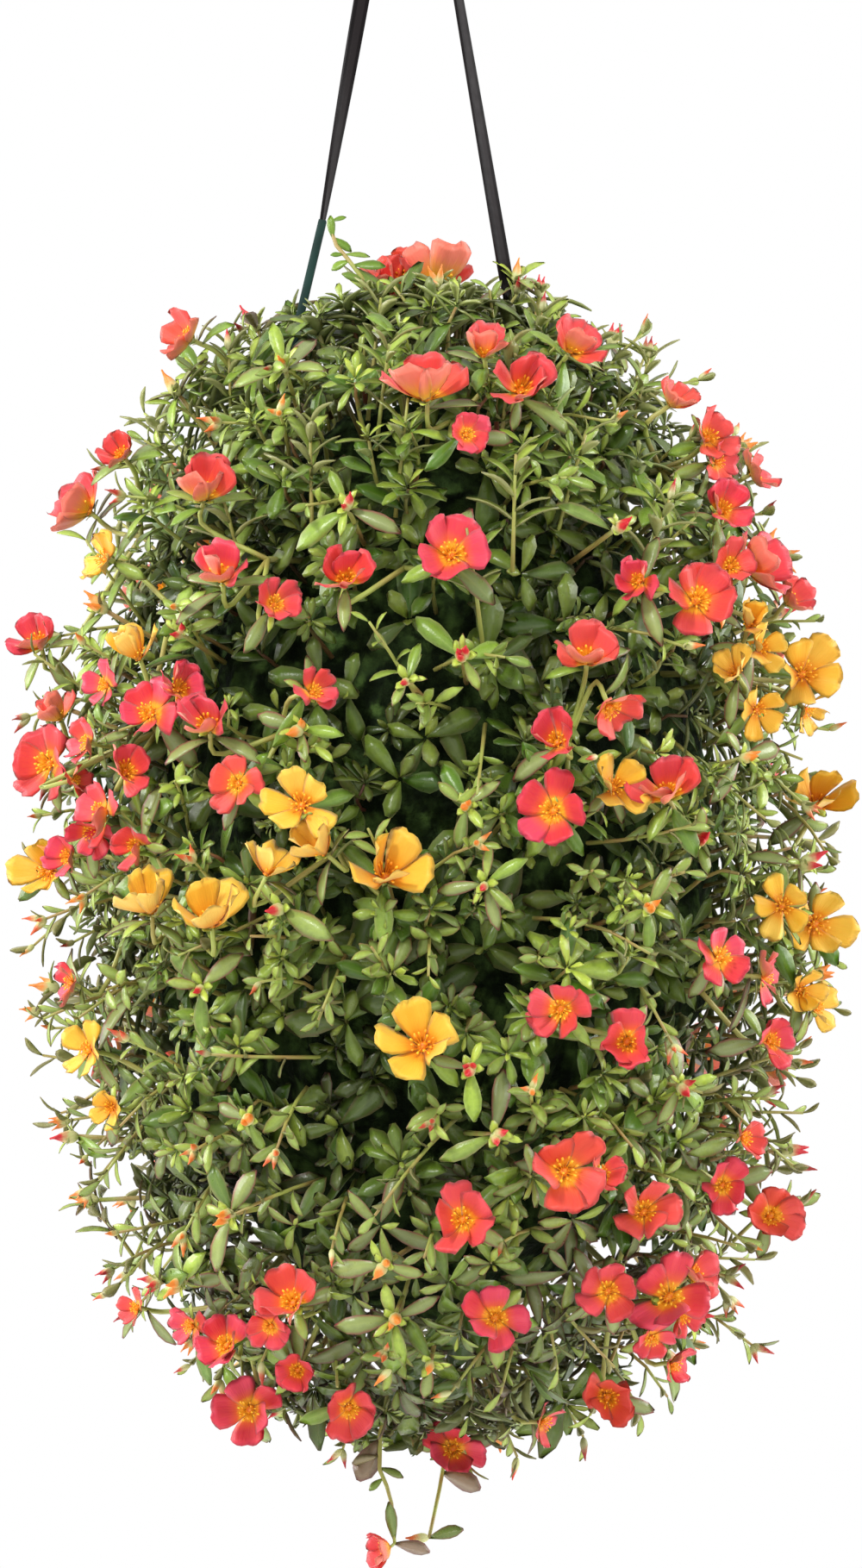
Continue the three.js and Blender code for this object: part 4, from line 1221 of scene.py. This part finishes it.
STARS_ROUND = 90
draw = random.Random(SEEDS["stars"])
stars = 0
for across, height in STARS_IN_FRONT:
    place = front_place(across * MM, height * MM, draw.uniform(-0.004, 0.002))
    azimuth = math.degrees(math.atan2(place.x - BUSH["side"], -place.y))
    lean = Vector((draw.uniform(-0.3, 0.3), -0.5, 0.25))
    facing = (skin_normal(azimuth, height * MM) + lean).normalized()
    if not near_bloom(place, 0.002):
        bud_star(growth_at(azimuth, height * MM), draw, place, facing, draw.uniform(0.025, 0.031))
        stars += 1
for azimuth, height in skin_places(STARS_ROUND, draw, 0.02):
    place = shell_place(azimuth, height, draw.uniform(-0.006, 0.001))
    if math.cos(math.radians(azimuth)) < 0.55 and not near_bloom(place, 0.006):
        facing = (skin_normal(azimuth, height) + Vector((0, 0, 0.3))).normalized()
        bud_star(growth_at(azimuth, height), draw, place, facing, draw.uniform(0.024, 0.03))
        stars += 1
print("bud stars:", stars)

# %% [markdown]
# ## Rooted stems and the shoots that stray
# Thick stems rise from the soil, and the lower ones bend over the pot's rim. One shoot climbs
# beside the left arm, and two thin ones hang out of the bottom. Their few leaves are large, and
# some show their purple undersides, so each one is set down as it is seen.

# %% Rooted stems
# Points of each tier's stems: out from the pot's middle, and height
STEM_PATHS = {
    "crown": [(38, -60), (38, -14), (38, 0), (44, 40), (54, 90)],
    "belt": [(72, -60), (72, -14), (72, -2), (84, 16), (114, 42)],
    "skirt": [(88, -60), (88, -3), (99, 6), (113, 7), (124, -4), (128, -25), (133, -62)],
    "trailing": [(90, -60), (90, -3), (99, 7), (112, 8), (121, -3), (120, -18), (111, -42),
                 (101, -80), (93, -130), (89, -172), (80, -200)],
}
ROOT_RADIUS = 0.0021
# The rooted stems get deep 0.4: painted shade, as they lie inside the growth.
for tier, count, first, low in TIERS:
    for i in range(count):
        turn = math.radians(first + 360 / count * i)
        path = [Vector((out * math.sin(turn) * MM, -out * math.cos(turn) * MM, height * MM - RIM_DROP))
                for out, height in STEM_PATHS[tier]]
        half = len(path) // 2
        for stretch in (path[:half + 1], path[half:]):
            lead_stem(leafy_growths[f"{tier}_growth_{i + 1}"], STEM, stretch, ROOT_RADIUS, ROOT_RADIUS,
                      young=0.1, flush=0.6, deep=0.4)
print("rooted stems:", sum(tier[1] for tier in TIERS))

# %% Single shoots
# Each one: its growth, the points of its path, and its leaves. A leaf: share along the shoot, angle
# in the picture, length, width, flush, and 1 where its upper side is seen or -1 where it isn't.
LONE_SHOOTS = [
    ("crown_growth_4",
     [(-18, -12, 206), (-28, -24, 256), (-38, -24, 274), (-48, -18, 287), (-50, -14, 299)],
     [(0.97, 15, 8, 3, 0, 1), (0.78, 97, 12, 4.4, 0, 1), (0.8, -38, 12, 5, 0, 1),
      (0.62, -2, 13, 3.4, 0.2, 1), (0.62, 184, 7, 3, 0, 1), (0.56, 205, 10, 5, 0, 1),
      (0.52, -4, 17, 6, 0.1, 1), (0.5, -42, 24, 7.5, 0.4, 1), (0.36, 160, 13, 5, 0.2, 1),
      (0.3, 10, 18, 6, 0.4, 1), (0.22, 150, 17, 6, 0.4, 1), (0.12, 20, 18, 7, 0.3, 1)]),
    ("trailing_growth_4",
     [(-14, -12, -248), (-26, -30, -312), (-20, -34, -335), (-18, -36, -358)],
     [(0.98, 98, 21, 6, 0.6, 1), (1.0, -14, 18, 9, 1, -1), (0.3, -118, 23, 13, 1, -1),
      (0.36, -165, 14, 7, 0.8, -1), (0.42, -20, 13, 5, 0.7, 1), (0.22, -30, 18, 8, 0.7, 1),
      (0.5, -140, 9, 4, 0.3, 1)]),
    ("trailing_growth_1",
     [(12, -12, -248), (9, 6, -300), (5, 4, -330), (-1, -26, -356)],
     [(1.0, 14, 18, 7.5, 0.7, 1), (0.62, -22, 21, 12, 1, -1), (0.36, -10, 16, 6, 0.7, 1),
      (0.3, -150, 15, 6, 0.6, 1), (0.25, 0, 17, 7, 0.5, 1)]),
]
draw = random.Random(SEEDS["single"])


def picture_direction(angle, depth):
    """A direction at an angle in the picture, which leans away by the depth."""
    turn = math.radians(angle)
    return Vector((math.cos(turn), depth, math.sin(turn))).normalized()


for name, points, leaves in LONE_SHOOTS:
    growth, path = leafy_growths[name], [place_mm(*point) for point in points]
    lead_stem(growth, STEM, path, 0.0013, 0.0009, young=0.7, flush=0.5)
    for share, angle, length, width, flush, side in leaves:
        spot = curve_point(path, share)[0]
        along = picture_direction(angle, draw.uniform(-0.35, 0.1))
        upper = Vector((0, -side, 0.6)) + Vector((draw.uniform(-0.4, 0.4), 0, 0))
        set_leaf(growth, LEAF, spot, along, upper, length * MM, width * MM,
                 tone=draw.random() * 0.5, young=0.1, flush=flush)
bud_place, along = curve_point(path, 1.0)[0], picture_direction(158, -0.2)
growth.place(BUD, frame_of(bud_place, Vector((0, 0, 1)), along, 0.005, 0.005, 0.008), "bud", flush=0.5)
print("single shoots:", len(LONE_SHOOTS))

# %% [markdown]
# ## Sprigs that stand out
# The outline of the ball isn't closed. Thin sprigs stand out of it on all sides, with leaves along
# them and often two or three closed, twisted blooms at the end. Those in the picture's outline are
# listed by where their tips are seen, and the others stand at even places. Near the top they are
# closer together and rise.

# %% One sprig
def sprig(growth, draw, root, tip, droop, leaves, size, flush, buds, red):
    """A sprig from its root to its tip, bent by the droop. Red buds are darker, as if dried."""
    middle = (root + tip) / 2 + Vector((0, 0, droop))
    path = [root, middle, tip]
    lead_stem(growth, TWIG, path, 0.0012, 0.0007, young=0.7, flush=flush)
    out = curve_point(path, 1.0)[1]
    for i in range(leaves):
        share = 0.35 + 0.65 * i / (leaves - 1)
        spot, direction = curve_point(path, share)
        radial = side_direction(direction, i * math.radians(GOLDEN_ANGLE) + draw.uniform(-0.4, 0.4))
        along = (radial + direction * (0.35 + 0.8 * share)).normalized()
        length = size * draw.uniform(0.75, 1.15) * (1.15 - 0.4 * share)
        if leaf_fits(spot, along, length):
            set_leaf(growth, LEAF, spot, along, direction - radial, length,
                     length * draw.uniform(0.28, 0.4), tone=draw.random(),
                     young=0.1 + 0.5 * share * draw.random(), flush=flush)
    for i in range(buds):
        along = (out + side_direction(out, i * 2.4 + 1) * draw.uniform(0.25, 0.8)).normalized()
        length = draw.uniform(0.006, 0.0085)
        if leaf_allowed(tip + along * length * 1.6, tip):
            set_bud(growth, tip, along, length * 0.5, length, flush=red, deep=draw.random() * 1.3 * red)


def sprig_flush(height):
    """Leaves show more red on the lower half."""
    return 0.55 if height < 0 else 0.3


print("sprig rules ready")

# %% Sprigs in the outline
# Tip across and height, angle of the sprig in the picture, length, leaves, buds, how red
SPRIGS_IN_FRONT = [
    (163, -135, 8, 46, 6, 3, 1), (184, -192, 30, 40, 7, 1, 0.8), (146, -226, 12, 46, 7, 2, 1),
    (160, -262, -22, 60, 9, 3, 0.9), (146, -248, 10, 50, 7, 0, 0), (43, -318, -60, 52, 9, 1, 0.8),
    (-180, -150, 175, 44, 7, 3, 0.2), (-172, -192, 130, 44, 6, 0, 0), (-158, -224, 200, 42, 6, 3, 1),
    (-148, -244, 205, 40, 6, 2, 1), (-188, -104, 170, 44, 7, 1, 0.3), (-192, 58, 165, 46, 7, 0, 0),
    (-194, 2, 178, 44, 6, 1, 0.6), (198, -18, -50, 40, 6, 0, 0), (200, -70, -30, 40, 6, 0, 0),
    (-92, 241, 140, 44, 7, 1, 1), (43, 262, 62, 52, 8, 2, 1), (-108, 222, 150, 46, 8, 1, 1),
    (128, 188, 40, 40, 7, 3, 1), (165, 152, 30, 40, 7, 1, 0.9), (-142, 188, 140, 44, 8, 0, 0),
    (-128, 206, 130, 44, 8, 0, 0), (82, 236, 60, 44, 8, 0, 0), (104, 214, 45, 44, 8, 0, 0),
    (-60, 246, 110, 46, 8, 0, 0), (-30, 262, 95, 46, 8, 0, 0), (64, 252, 75, 46, 8, 0, 0),
    (-160, 130, 160, 46, 8, 0, 0), (176, 60, 0, 44, 8, 2, 0.8), (184, 30, -10, 44, 7, 1, 0.3),
    (184, -80, -30, 44, 7, 0, 0), (178, -120, -20, 44, 7, 1, 0.6), (172, -160, -10, 42, 7, 0, 0),
    (-176, -60, 190, 44, 7, 1, 0.9), (-120, -272, 225, 46, 7, 1, 0.9), (-82, -298, 240, 46, 7, 1, 0.9),
    (-20, -304, 265, 40, 7, 0, 0), (18, -322, 280, 50, 8, 1, 0.8), (76, -308, -50, 48, 7, 1, 0.9),
    (118, -288, -40, 44, 7, 0, 0), (-44, -314, 250, 42, 7, 2, 1), (104, -296, -60, 42, 7, 0, 0),
]
print("sprigs in the outline:", len(SPRIGS_IN_FRONT))

# %% Plant the sprigs
SPRIGS_AT_TOP, SPRIGS_ROUND = 260, 290     # of the first, only those near the top grow
BARE_SHARE = 0.75
draw = random.Random(SEEDS["top"])
for azimuth, height in skin_places(SPRIGS_AT_TOP, draw, 0.012):
    if height > 0.13 and not is_bare(draw, azimuth, height, BARE_SHARE):
        tip = shell_place(azimuth, height, draw.uniform(-0.004, 0.006))
        lean = (skin_normal(azimuth, height) * 0.35 + Vector((0, 0, 1))).normalized()
        root = tip - lean * 0.06 + shake(draw, 0.01)
        sprig(growth_at(azimuth, height), draw, root, tip, 0.002, 11, draw.uniform(0.02, 0.025), 0.35,
              draw.choice((0, 0, 1)), 1)

draw = random.Random(SEEDS["sprigs"])
for across, height, angle, length, leaves, buds, red in SPRIGS_IN_FRONT:
    skin = bush_radius(height * MM)
    depth = math.sqrt(max(skin ** 2 - (across * MM) ** 2, 0)) * 0.7
    tip = Vector((across * MM + BUSH["side"], -depth, height * MM - RIM_DROP))
    root = tip - picture_direction(angle, -0.3) * length * MM
    azimuth = math.degrees(math.atan2(across, depth / MM + 1))
    sprig(growth_at(azimuth, height * MM), draw, root, tip, draw.uniform(0.002, 0.008), leaves,
          draw.uniform(0.015, 0.021), sprig_flush(height), buds, red)
for azimuth, height in skin_places(SPRIGS_ROUND, draw, 0.02):
    tip = shell_place(azimuth, height, draw.uniform(0.001, 0.014))
    if leaf_allowed(tip, tip) and not (height > 0.1 and is_bare(draw, azimuth, height, BARE_SHARE)):
        normal = skin_normal(azimuth, height)
        aside = side_direction(normal, draw.uniform(0, FULL_TURN)) * draw.uniform(0.01, 0.045)
        root = tip - normal * 0.052 + aside
        sprig(growth_at(azimuth, height), draw, root, tip, draw.uniform(-0.002, 0.006), 7,
              draw.uniform(0.015, 0.02), sprig_flush(height), draw.choice((0, 0, 1, 3)), draw.random())
print("leafy growths:", leafy_triangles(), "triangles")

# %% [markdown]
# ## Making the pieces
# Each leafy growth takes the place of a rooted stem's solid, and each spray of blooms that of the
# solid spray with the same number. Every piece rides on the frame's only body.

# %% Build the leafy pieces and the blooms
LEAF_SLOTS = {"crown": "leaf", "belt": "leaf", "skirt": "young_leaf", "trailing": "trailing_leaf"}


def ride_for(piece, slot, *nodes):
    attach(piece, "root")
    if nodes:
        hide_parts(*nodes)


def wear(piece, material):
    piece.data.materials.clear()
    piece.data.materials.append(material)


for name, growth in leafy_growths.items():
    tier = name.split("_")[0]
    ride_for(growth.build(name, FINISHES), LEAF_SLOTS[tier], name.replace("growth", "stems"))
for name, growth in bloom_growths.items():
    kind = name.split("_")[0]
    ride_for(growth.build(name, FINISHES), f"{kind}_petal", name.replace("blooms", "spray"))
print("pieces built:", len(leafy_growths) + len(bloom_growths))

# %% [markdown]
# ## The dark inside of the ball
# Between the shoots one looks into shade, where old stems and leaves are packed. A knotty inner
# mass stands for them, well below the outer leaves, and its near-black colour is painted shade. It
# is a ball drawn out upwards and roughened with two cloud patterns, one coarse and one fine. Small
# cells in its finish, a little lighter in their middles, look like packed leaves.

# %% Model the inner growth
shade_skin = Finish("inner_growth", roughness=0.8, Specular_IOR_Level=0.05)
lumps = shade_skin.noise(90, 4)
packed = shade_skin.node("ShaderNodeTexVoronoi", {},
                         {"Vector": shade_skin.place((1, 1, 0.6)), "Scale": 110})
# Painted shade: the mass is coloured near black, as the shade inside the ball.
colour = shade_skin.mix(lumps.ramp(0.35, 0.7), rgb("#0f170b"), rgb("#2c3d1d"))
leafy = (1 - packed.ramp(0.15, 0.6)) * lumps.ramp(0.4, 0.6) * 0.8
shade_skin.lead(shade_skin.mix(leafy, colour, rgb("#48602e")), "Base Color")
shade_skin.bump(shade_skin.noise(260, 3) - packed, 0.8, 0.004)

inner = start("inner_growth", bpy.ops.mesh.primitive_ico_sphere_add, subdivisions=6, radius=1,
              location=(BUSH["side"], 0, BUSH["middle"] - RIM_DROP), scale=(0.138, 0.138, 0.228))
for name, size, strength in (("knots", 0.022, 0.02), ("crumbs", 0.007, 0.007)):
    clouds = bpy.data.textures.new(name, "CLOUDS")
    clouds.noise_scale = size
    finish_with(inner, "DISPLACE", texture=clouds, strength=strength, texture_coords="LOCAL")
take(inner)
bpy.ops.object.shade_smooth()
wear(inner, shade_skin.material)
ride_for(inner, "leaf")
print("inner growth:", len(inner.data.polygons), "triangles")

# %% [markdown]
# ## Plastic and soil
# Pot and arms are dark, green black plastic, and the straps are nearly black with a slightly paler
# band along the middle, a painted highlight. Moulded plastic is nearly even in colour, so a faint
# cloud and a fine grain are enough. The soil is a coarse mix of dark crumbs.

# %% Plastic and soil finishes
def moulded(name, dark, light, band=None, shine=0.2):
    plastic = Finish(name, roughness=0.5, Specular_IOR_Level=shine)
    colour = plastic.mix(plastic.noise(45, 4).ramp(0.35, 0.7), rgb(dark), rgb(light))
    if band:
        # The paler band is a painted highlight along the strap's middle.
        across = plastic.sheet()[0]
        middle = 1 - (across * 2 - 1).size().ramp(0.42, 0.58)
        colour = plastic.mix(middle, colour, rgb(band))
    plastic.lead(colour, "Base Color")
    plastic.lead(plastic.noise(210, 3) * 0.25 + 0.4, "Roughness")
    plastic.bump(plastic.noise(1600, 2), 0.15, 0.0002)
    return plastic.material


FINISHES["plastic"] = moulded("pot_plastic_skin", "#0f2623", "#193a34")
FINISHES["strap"] = moulded("strap_skin", "#141112", "#1a1718", band="#231f20", shine=0.06)
FINISHES["hook"] = moulded("hook_skin", "#232023", "#2e2b2f")
crumbs = Finish("soil_crumbs", roughness=0.95)
grain = crumbs.noise(420, 5)
crumbs.lead(crumbs.mix(grain.ramp(0.4, 0.62), rgb("#1c130d"), rgb("#4b3726")), "Base Color")
crumbs.bump(grain, 0.9, 0.002)
wear(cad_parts["soil"], crumbs.material)
print("finishes in all:", len(FINISHES) + 2)

# %% [markdown]
# ## Straps and arms
# Each arm is a channel that clips on a lug of the pot and leans in. A flat strap with a sunken
# middle band leaves its top, edge-on, and turns about its own length on the way up. Both are
# modelled upright in millimetres, and then stood along their line.

# %% Lines and tools for the hanger
# Millimetres: an arm's top stands that high over the rim and that far out. The turns of its strap
# are degrees at shares of the way up.
SIDES = {
    "left": {"sign": -1, "top": 299, "out": 44, "turns": ((0, 0.08, 0.56, 1), (90, 76, 12, 0))},
    "right": {"sign": 1, "top": 222, "out": 55, "turns": ((0, 0.2, 0.67, 1), (90, 38, 62, 62))},
}
UP = Vector((0, 0, 1))
LUG_OUT = 115


def arm_line(one, height):
    out = LUG_OUT + (one["out"] - LUG_OUT) * height / one["top"]
    return Vector((one["sign"] * out, 0, height - RIM_DROP / MM))


def arm_stand(one):
    """An arm's foot, the direction in which it leans, and its length."""
    foot, tip = arm_line(one, 0), arm_line(one, one["top"])
    return foot, (tip - foot).normalized(), (tip - foot).length


def block(name, sides, middle):
    return start(name, bpy.ops.mesh.primitive_cube_add, size=1, location=middle, scale=sides)


def cut(piece, tool, operation="DIFFERENCE"):
    finish_with(piece, "BOOLEAN", object=tool, operation=operation, solver="EXACT")
    bpy.data.objects.remove(tool)


def stand(piece, foot, along=UP):
    """Stands a piece, modelled upright in millimetres, along a direction, in metres."""
    across = Vector((0, 1, 0))
    turn = Matrix((across.cross(along), across, along)).transposed().to_4x4()
    piece.matrix_world = Matrix.Scale(MM, 4) @ Matrix.Translation(foot) @ turn
    settle(piece)


def dress(piece, finish, slot, node):
    wear(piece, FINISHES[finish])
    take(piece)
    bpy.ops.object.shade_smooth_by_angle(angle=math.radians(40))
    ride_for(piece, slot, node)


def strap_ends(one):
    """A strap's lower end, in its arm's channel, and its upper end, in the hub."""
    lower = arm_line(one, one["top"] - 13) - Vector((one["sign"] * 0.7, 0, 0))
    return lower, Vector((one["sign"] * 3.6, 0, -40))


print("arm lengths in mm:", [round(arm_stand(one)[2], 1) for one in SIDES.values()])

# %% Model the straps and arms
STRAP_WIDTH, STRAP_THICKNESS, STRAP_ROWS = 7.7, 1.6, 72
for side, one in SIDES.items():
    lower, upper = strap_ends(one)
    length = (upper - lower).length
    strap = start(f"{side}_strap", bpy.ops.mesh.primitive_grid_add, x_subdivisions=8, size=1,
                  y_subdivisions=STRAP_ROWS)
    strap.rotation_euler.x = math.pi / 2
    strap.scale = (STRAP_WIDTH, length, 1)
    settle(strap)
    strap.data.uv_layers[0].name = "sheet"
    finish_with(strap, "SOLIDIFY", thickness=STRAP_THICKNESS, offset=0)
    edit(strap)
    pick(strap, lambda co: abs(co.x) < 2.2)
    bpy.ops.transform.resize(value=(1, 0.72, 1))
    for row in range(STRAP_ROWS + 1):
        share = row / STRAP_ROWS
        at = (share - 0.5) * length
        pick(strap, lambda co: abs(co.z - at) < 1)
        turn = math.radians(float(np.interp(share, *one["turns"])))
        bpy.ops.transform.rotate(value=-turn, orient_axis="Z", center_override=(0, 0, at))
    stand(strap, (lower + upper) / 2, (upper - lower).normalized())
    dress(strap, "strap", "strap", f"strap_{side}")

    foot, lean, length = arm_stand(one)
    arm = block(f"{side}_arm", (4, 11, length + 7), (0, 0, (length - 7) / 2))
    cut(arm, block("hollow", (4, 8.2, length - 23), (-one["sign"] * 1.4, 0, (length + 25) / 2)))
    finish_with(arm, "BEVEL", width=0.35, segments=2, limit_method="ANGLE")
    stand(arm, foot, lean)
    dress(arm, "plastic", "pot_plastic", f"arm_{side}")
print("straps and arms stand")

# %% [markdown]
# ## The hook
# A round wire bends over into a hook and stands in a small hub. The wire is the straight stem
# again, with more sides and rings. The hub is a rounded block with a slot for each strap.

# %% Model the hook
HOOK_BEND, WIRE_RADIUS = 15.2, 0.00215      # the bend's radius in millimetres, the wire's in metres
hub = block("hook_and_hub", (26, 13, 16), (0, 0, -42))
finish_with(hub, "BEVEL", width=1.6, segments=3)
stand(hub, (0, 0, 0))
for one in SIDES.values():
    lower, upper = strap_ends(one)
    slot_tool = block("slot", (8.3, 2.2, 14), (0, 0, 0))
    slot_tool.rotation_euler.z = math.radians(one["turns"][1][-1])
    settle(slot_tool)
    stand(slot_tool, upper, (upper - lower).normalized())
    cut(hub, slot_tool)
bend = [(0, -38), (4, -32)]
bend += [(HOOK_BEND * math.cos(math.radians(turn)), HOOK_BEND * math.sin(math.radians(turn)) - 13)
         for turn in range(-28, 197, 28)]
wire_growth = Growth()
lead_stem(wire_growth, stem("wire", 14, 64), [Vector((x * MM, 0, z * MM)) for x, z in bend],
          WIRE_RADIUS, WIRE_RADIUS, finish="hook")
join(hub, wire_growth.build("wire", FINISHES))
dress(hub, "hook", "hanger_hook", "hanger_hook")
print("hook:", len(hub.data.polygons), "faces")

# %% [markdown]
# ## The pot
# The pot could be drawn as a cylinder and pulled to shape, but a turned profile is surer. One
# point is led round the wall's section and the section is spun. Lugs are joined on, and drains and
# room for the arms' feet are cut out.

# %% Model the pot
# The wall's section: out from the middle and height, from the base outside to the floor inside
WALL = [(0, -172), (70, -172), (73, -176), (80, -176), (106, -9), (112, -9), (112, 0), (105.8, 0),
        (103.8, -12), (77.8, -169.8), (0, -169.8)]
DRAINS = 6
pot = start("hanging_pot", bpy.ops.mesh.primitive_plane_add, size=1, location=(0, 0, WALL[0][1]))
edit(pot)
pick_all()
bpy.ops.mesh.merge(type="CENTER")
for here, there in zip(WALL, WALL[1:]):
    step = (there[0] - here[0], 0, there[1] - here[1])
    bpy.ops.mesh.extrude_region_move(TRANSFORM_OT_translate={"value": step})
pick_all()
bpy.ops.mesh.spin(steps=72, angle=math.tau, center=(0, 0, 0), axis=(0, 0, 1))
pick_all()
bpy.ops.mesh.remove_doubles(threshold=0.01)
bpy.ops.mesh.normals_make_consistent(inside=False)
finish_with(pot, "BEVEL", width=0.7, segments=2, limit_method="ANGLE", angle_limit=math.radians(25))
for sign in (-1, 1):
    lug = block("lug", (11, 18, 12), (sign * 115.5, 0, -6))
    finish_with(lug, "BEVEL", width=0.5, segments=2)
    cut(pot, lug, "UNION")
for i in range(DRAINS):
    turn = math.tau * i / DRAINS
    cut(pot, start("drain", bpy.ops.mesh.primitive_cylinder_add, vertices=24, radius=4, depth=20,
                   location=(45 * math.cos(turn), 45 * math.sin(turn), -172)))
stand(pot, (0, 0, -RIM_DROP / MM))
for one in SIDES.values():
    foot, lean, length = arm_stand(one)
    room = block("room", (4.6, 11.6, 19.3), (0, 0, 2.35))
    stand(room, foot, lean)
    cut(pot, room)
dress(pot, "plastic", "pot_plastic", "pot")
print("pot:", len(pot.data.polygons), "faces")

# %% [markdown]
# ## Floor, light and camera
# The plant hangs in an even, white studio. The sky gives most of the light. A lamp high on the left
# front models the ball, and a weaker, softer one fills from the right. Two more at its sides light
# the edges. The camera stands far off with a long lens, level with the plant's middle, as the
# picture was taken.

# %% Floor, lamps and camera
LAMP_AIM = Vector((0.01, 0, -0.55))
CAMERA_PLACE = (0.010, -4.346, -0.5502)
floor = start("floor", bpy.ops.mesh.primitive_circle_add, vertices=96, radius=3, fill_type="NGON",
              location=(0, 0, -1.65))
paper = Finish("floor_paper", roughness=0.9)
paper.lead(paper.mix(paper.noise(3), rgb("#e9e9e7"), rgb("#f1f1ef")), "Base Color")
wear(floor, paper.material)

world = bpy.data.worlds.new("white_studio")
world.use_nodes = True
sky = world.node_tree.nodes["Background"].inputs
sky["Color"].default_value, sky["Strength"].default_value = (1, 1, 1, 1), 1.0
bpy.context.scene.world = world
bpy.context.scene.view_settings.view_transform = "Standard"


def lamp(name, place, size, power):
    bpy.ops.object.light_add(type="AREA", location=place)
    light = bpy.context.object
    light.name = name
    light.data.size = size
    light.data.energy = power
    light.rotation_euler = (LAMP_AIM - Vector(place)).to_track_quat("-Z", "Y").to_euler()


lamp("key", (-1.1, -1.7, 1.2), 0.5, 46)
lamp("fill", (2.2, -1.8, 0.2), 1.2, 9)
lamp("left_rim", (-2.3, 0.5, 0.1), 1.4, 56)
lamp("right_rim", (2.3, 0.5, 0.1), 1.4, 56)

put_down()
bpy.ops.object.camera_add(location=CAMERA_PLACE, rotation=(math.pi / 2, 0, 0))
camera = bpy.context.object
camera.data.lens = 200
camera.data.sensor_width = 36
camera.data.clip_end = 100
bpy.context.scene.camera = camera
print("studio ready")
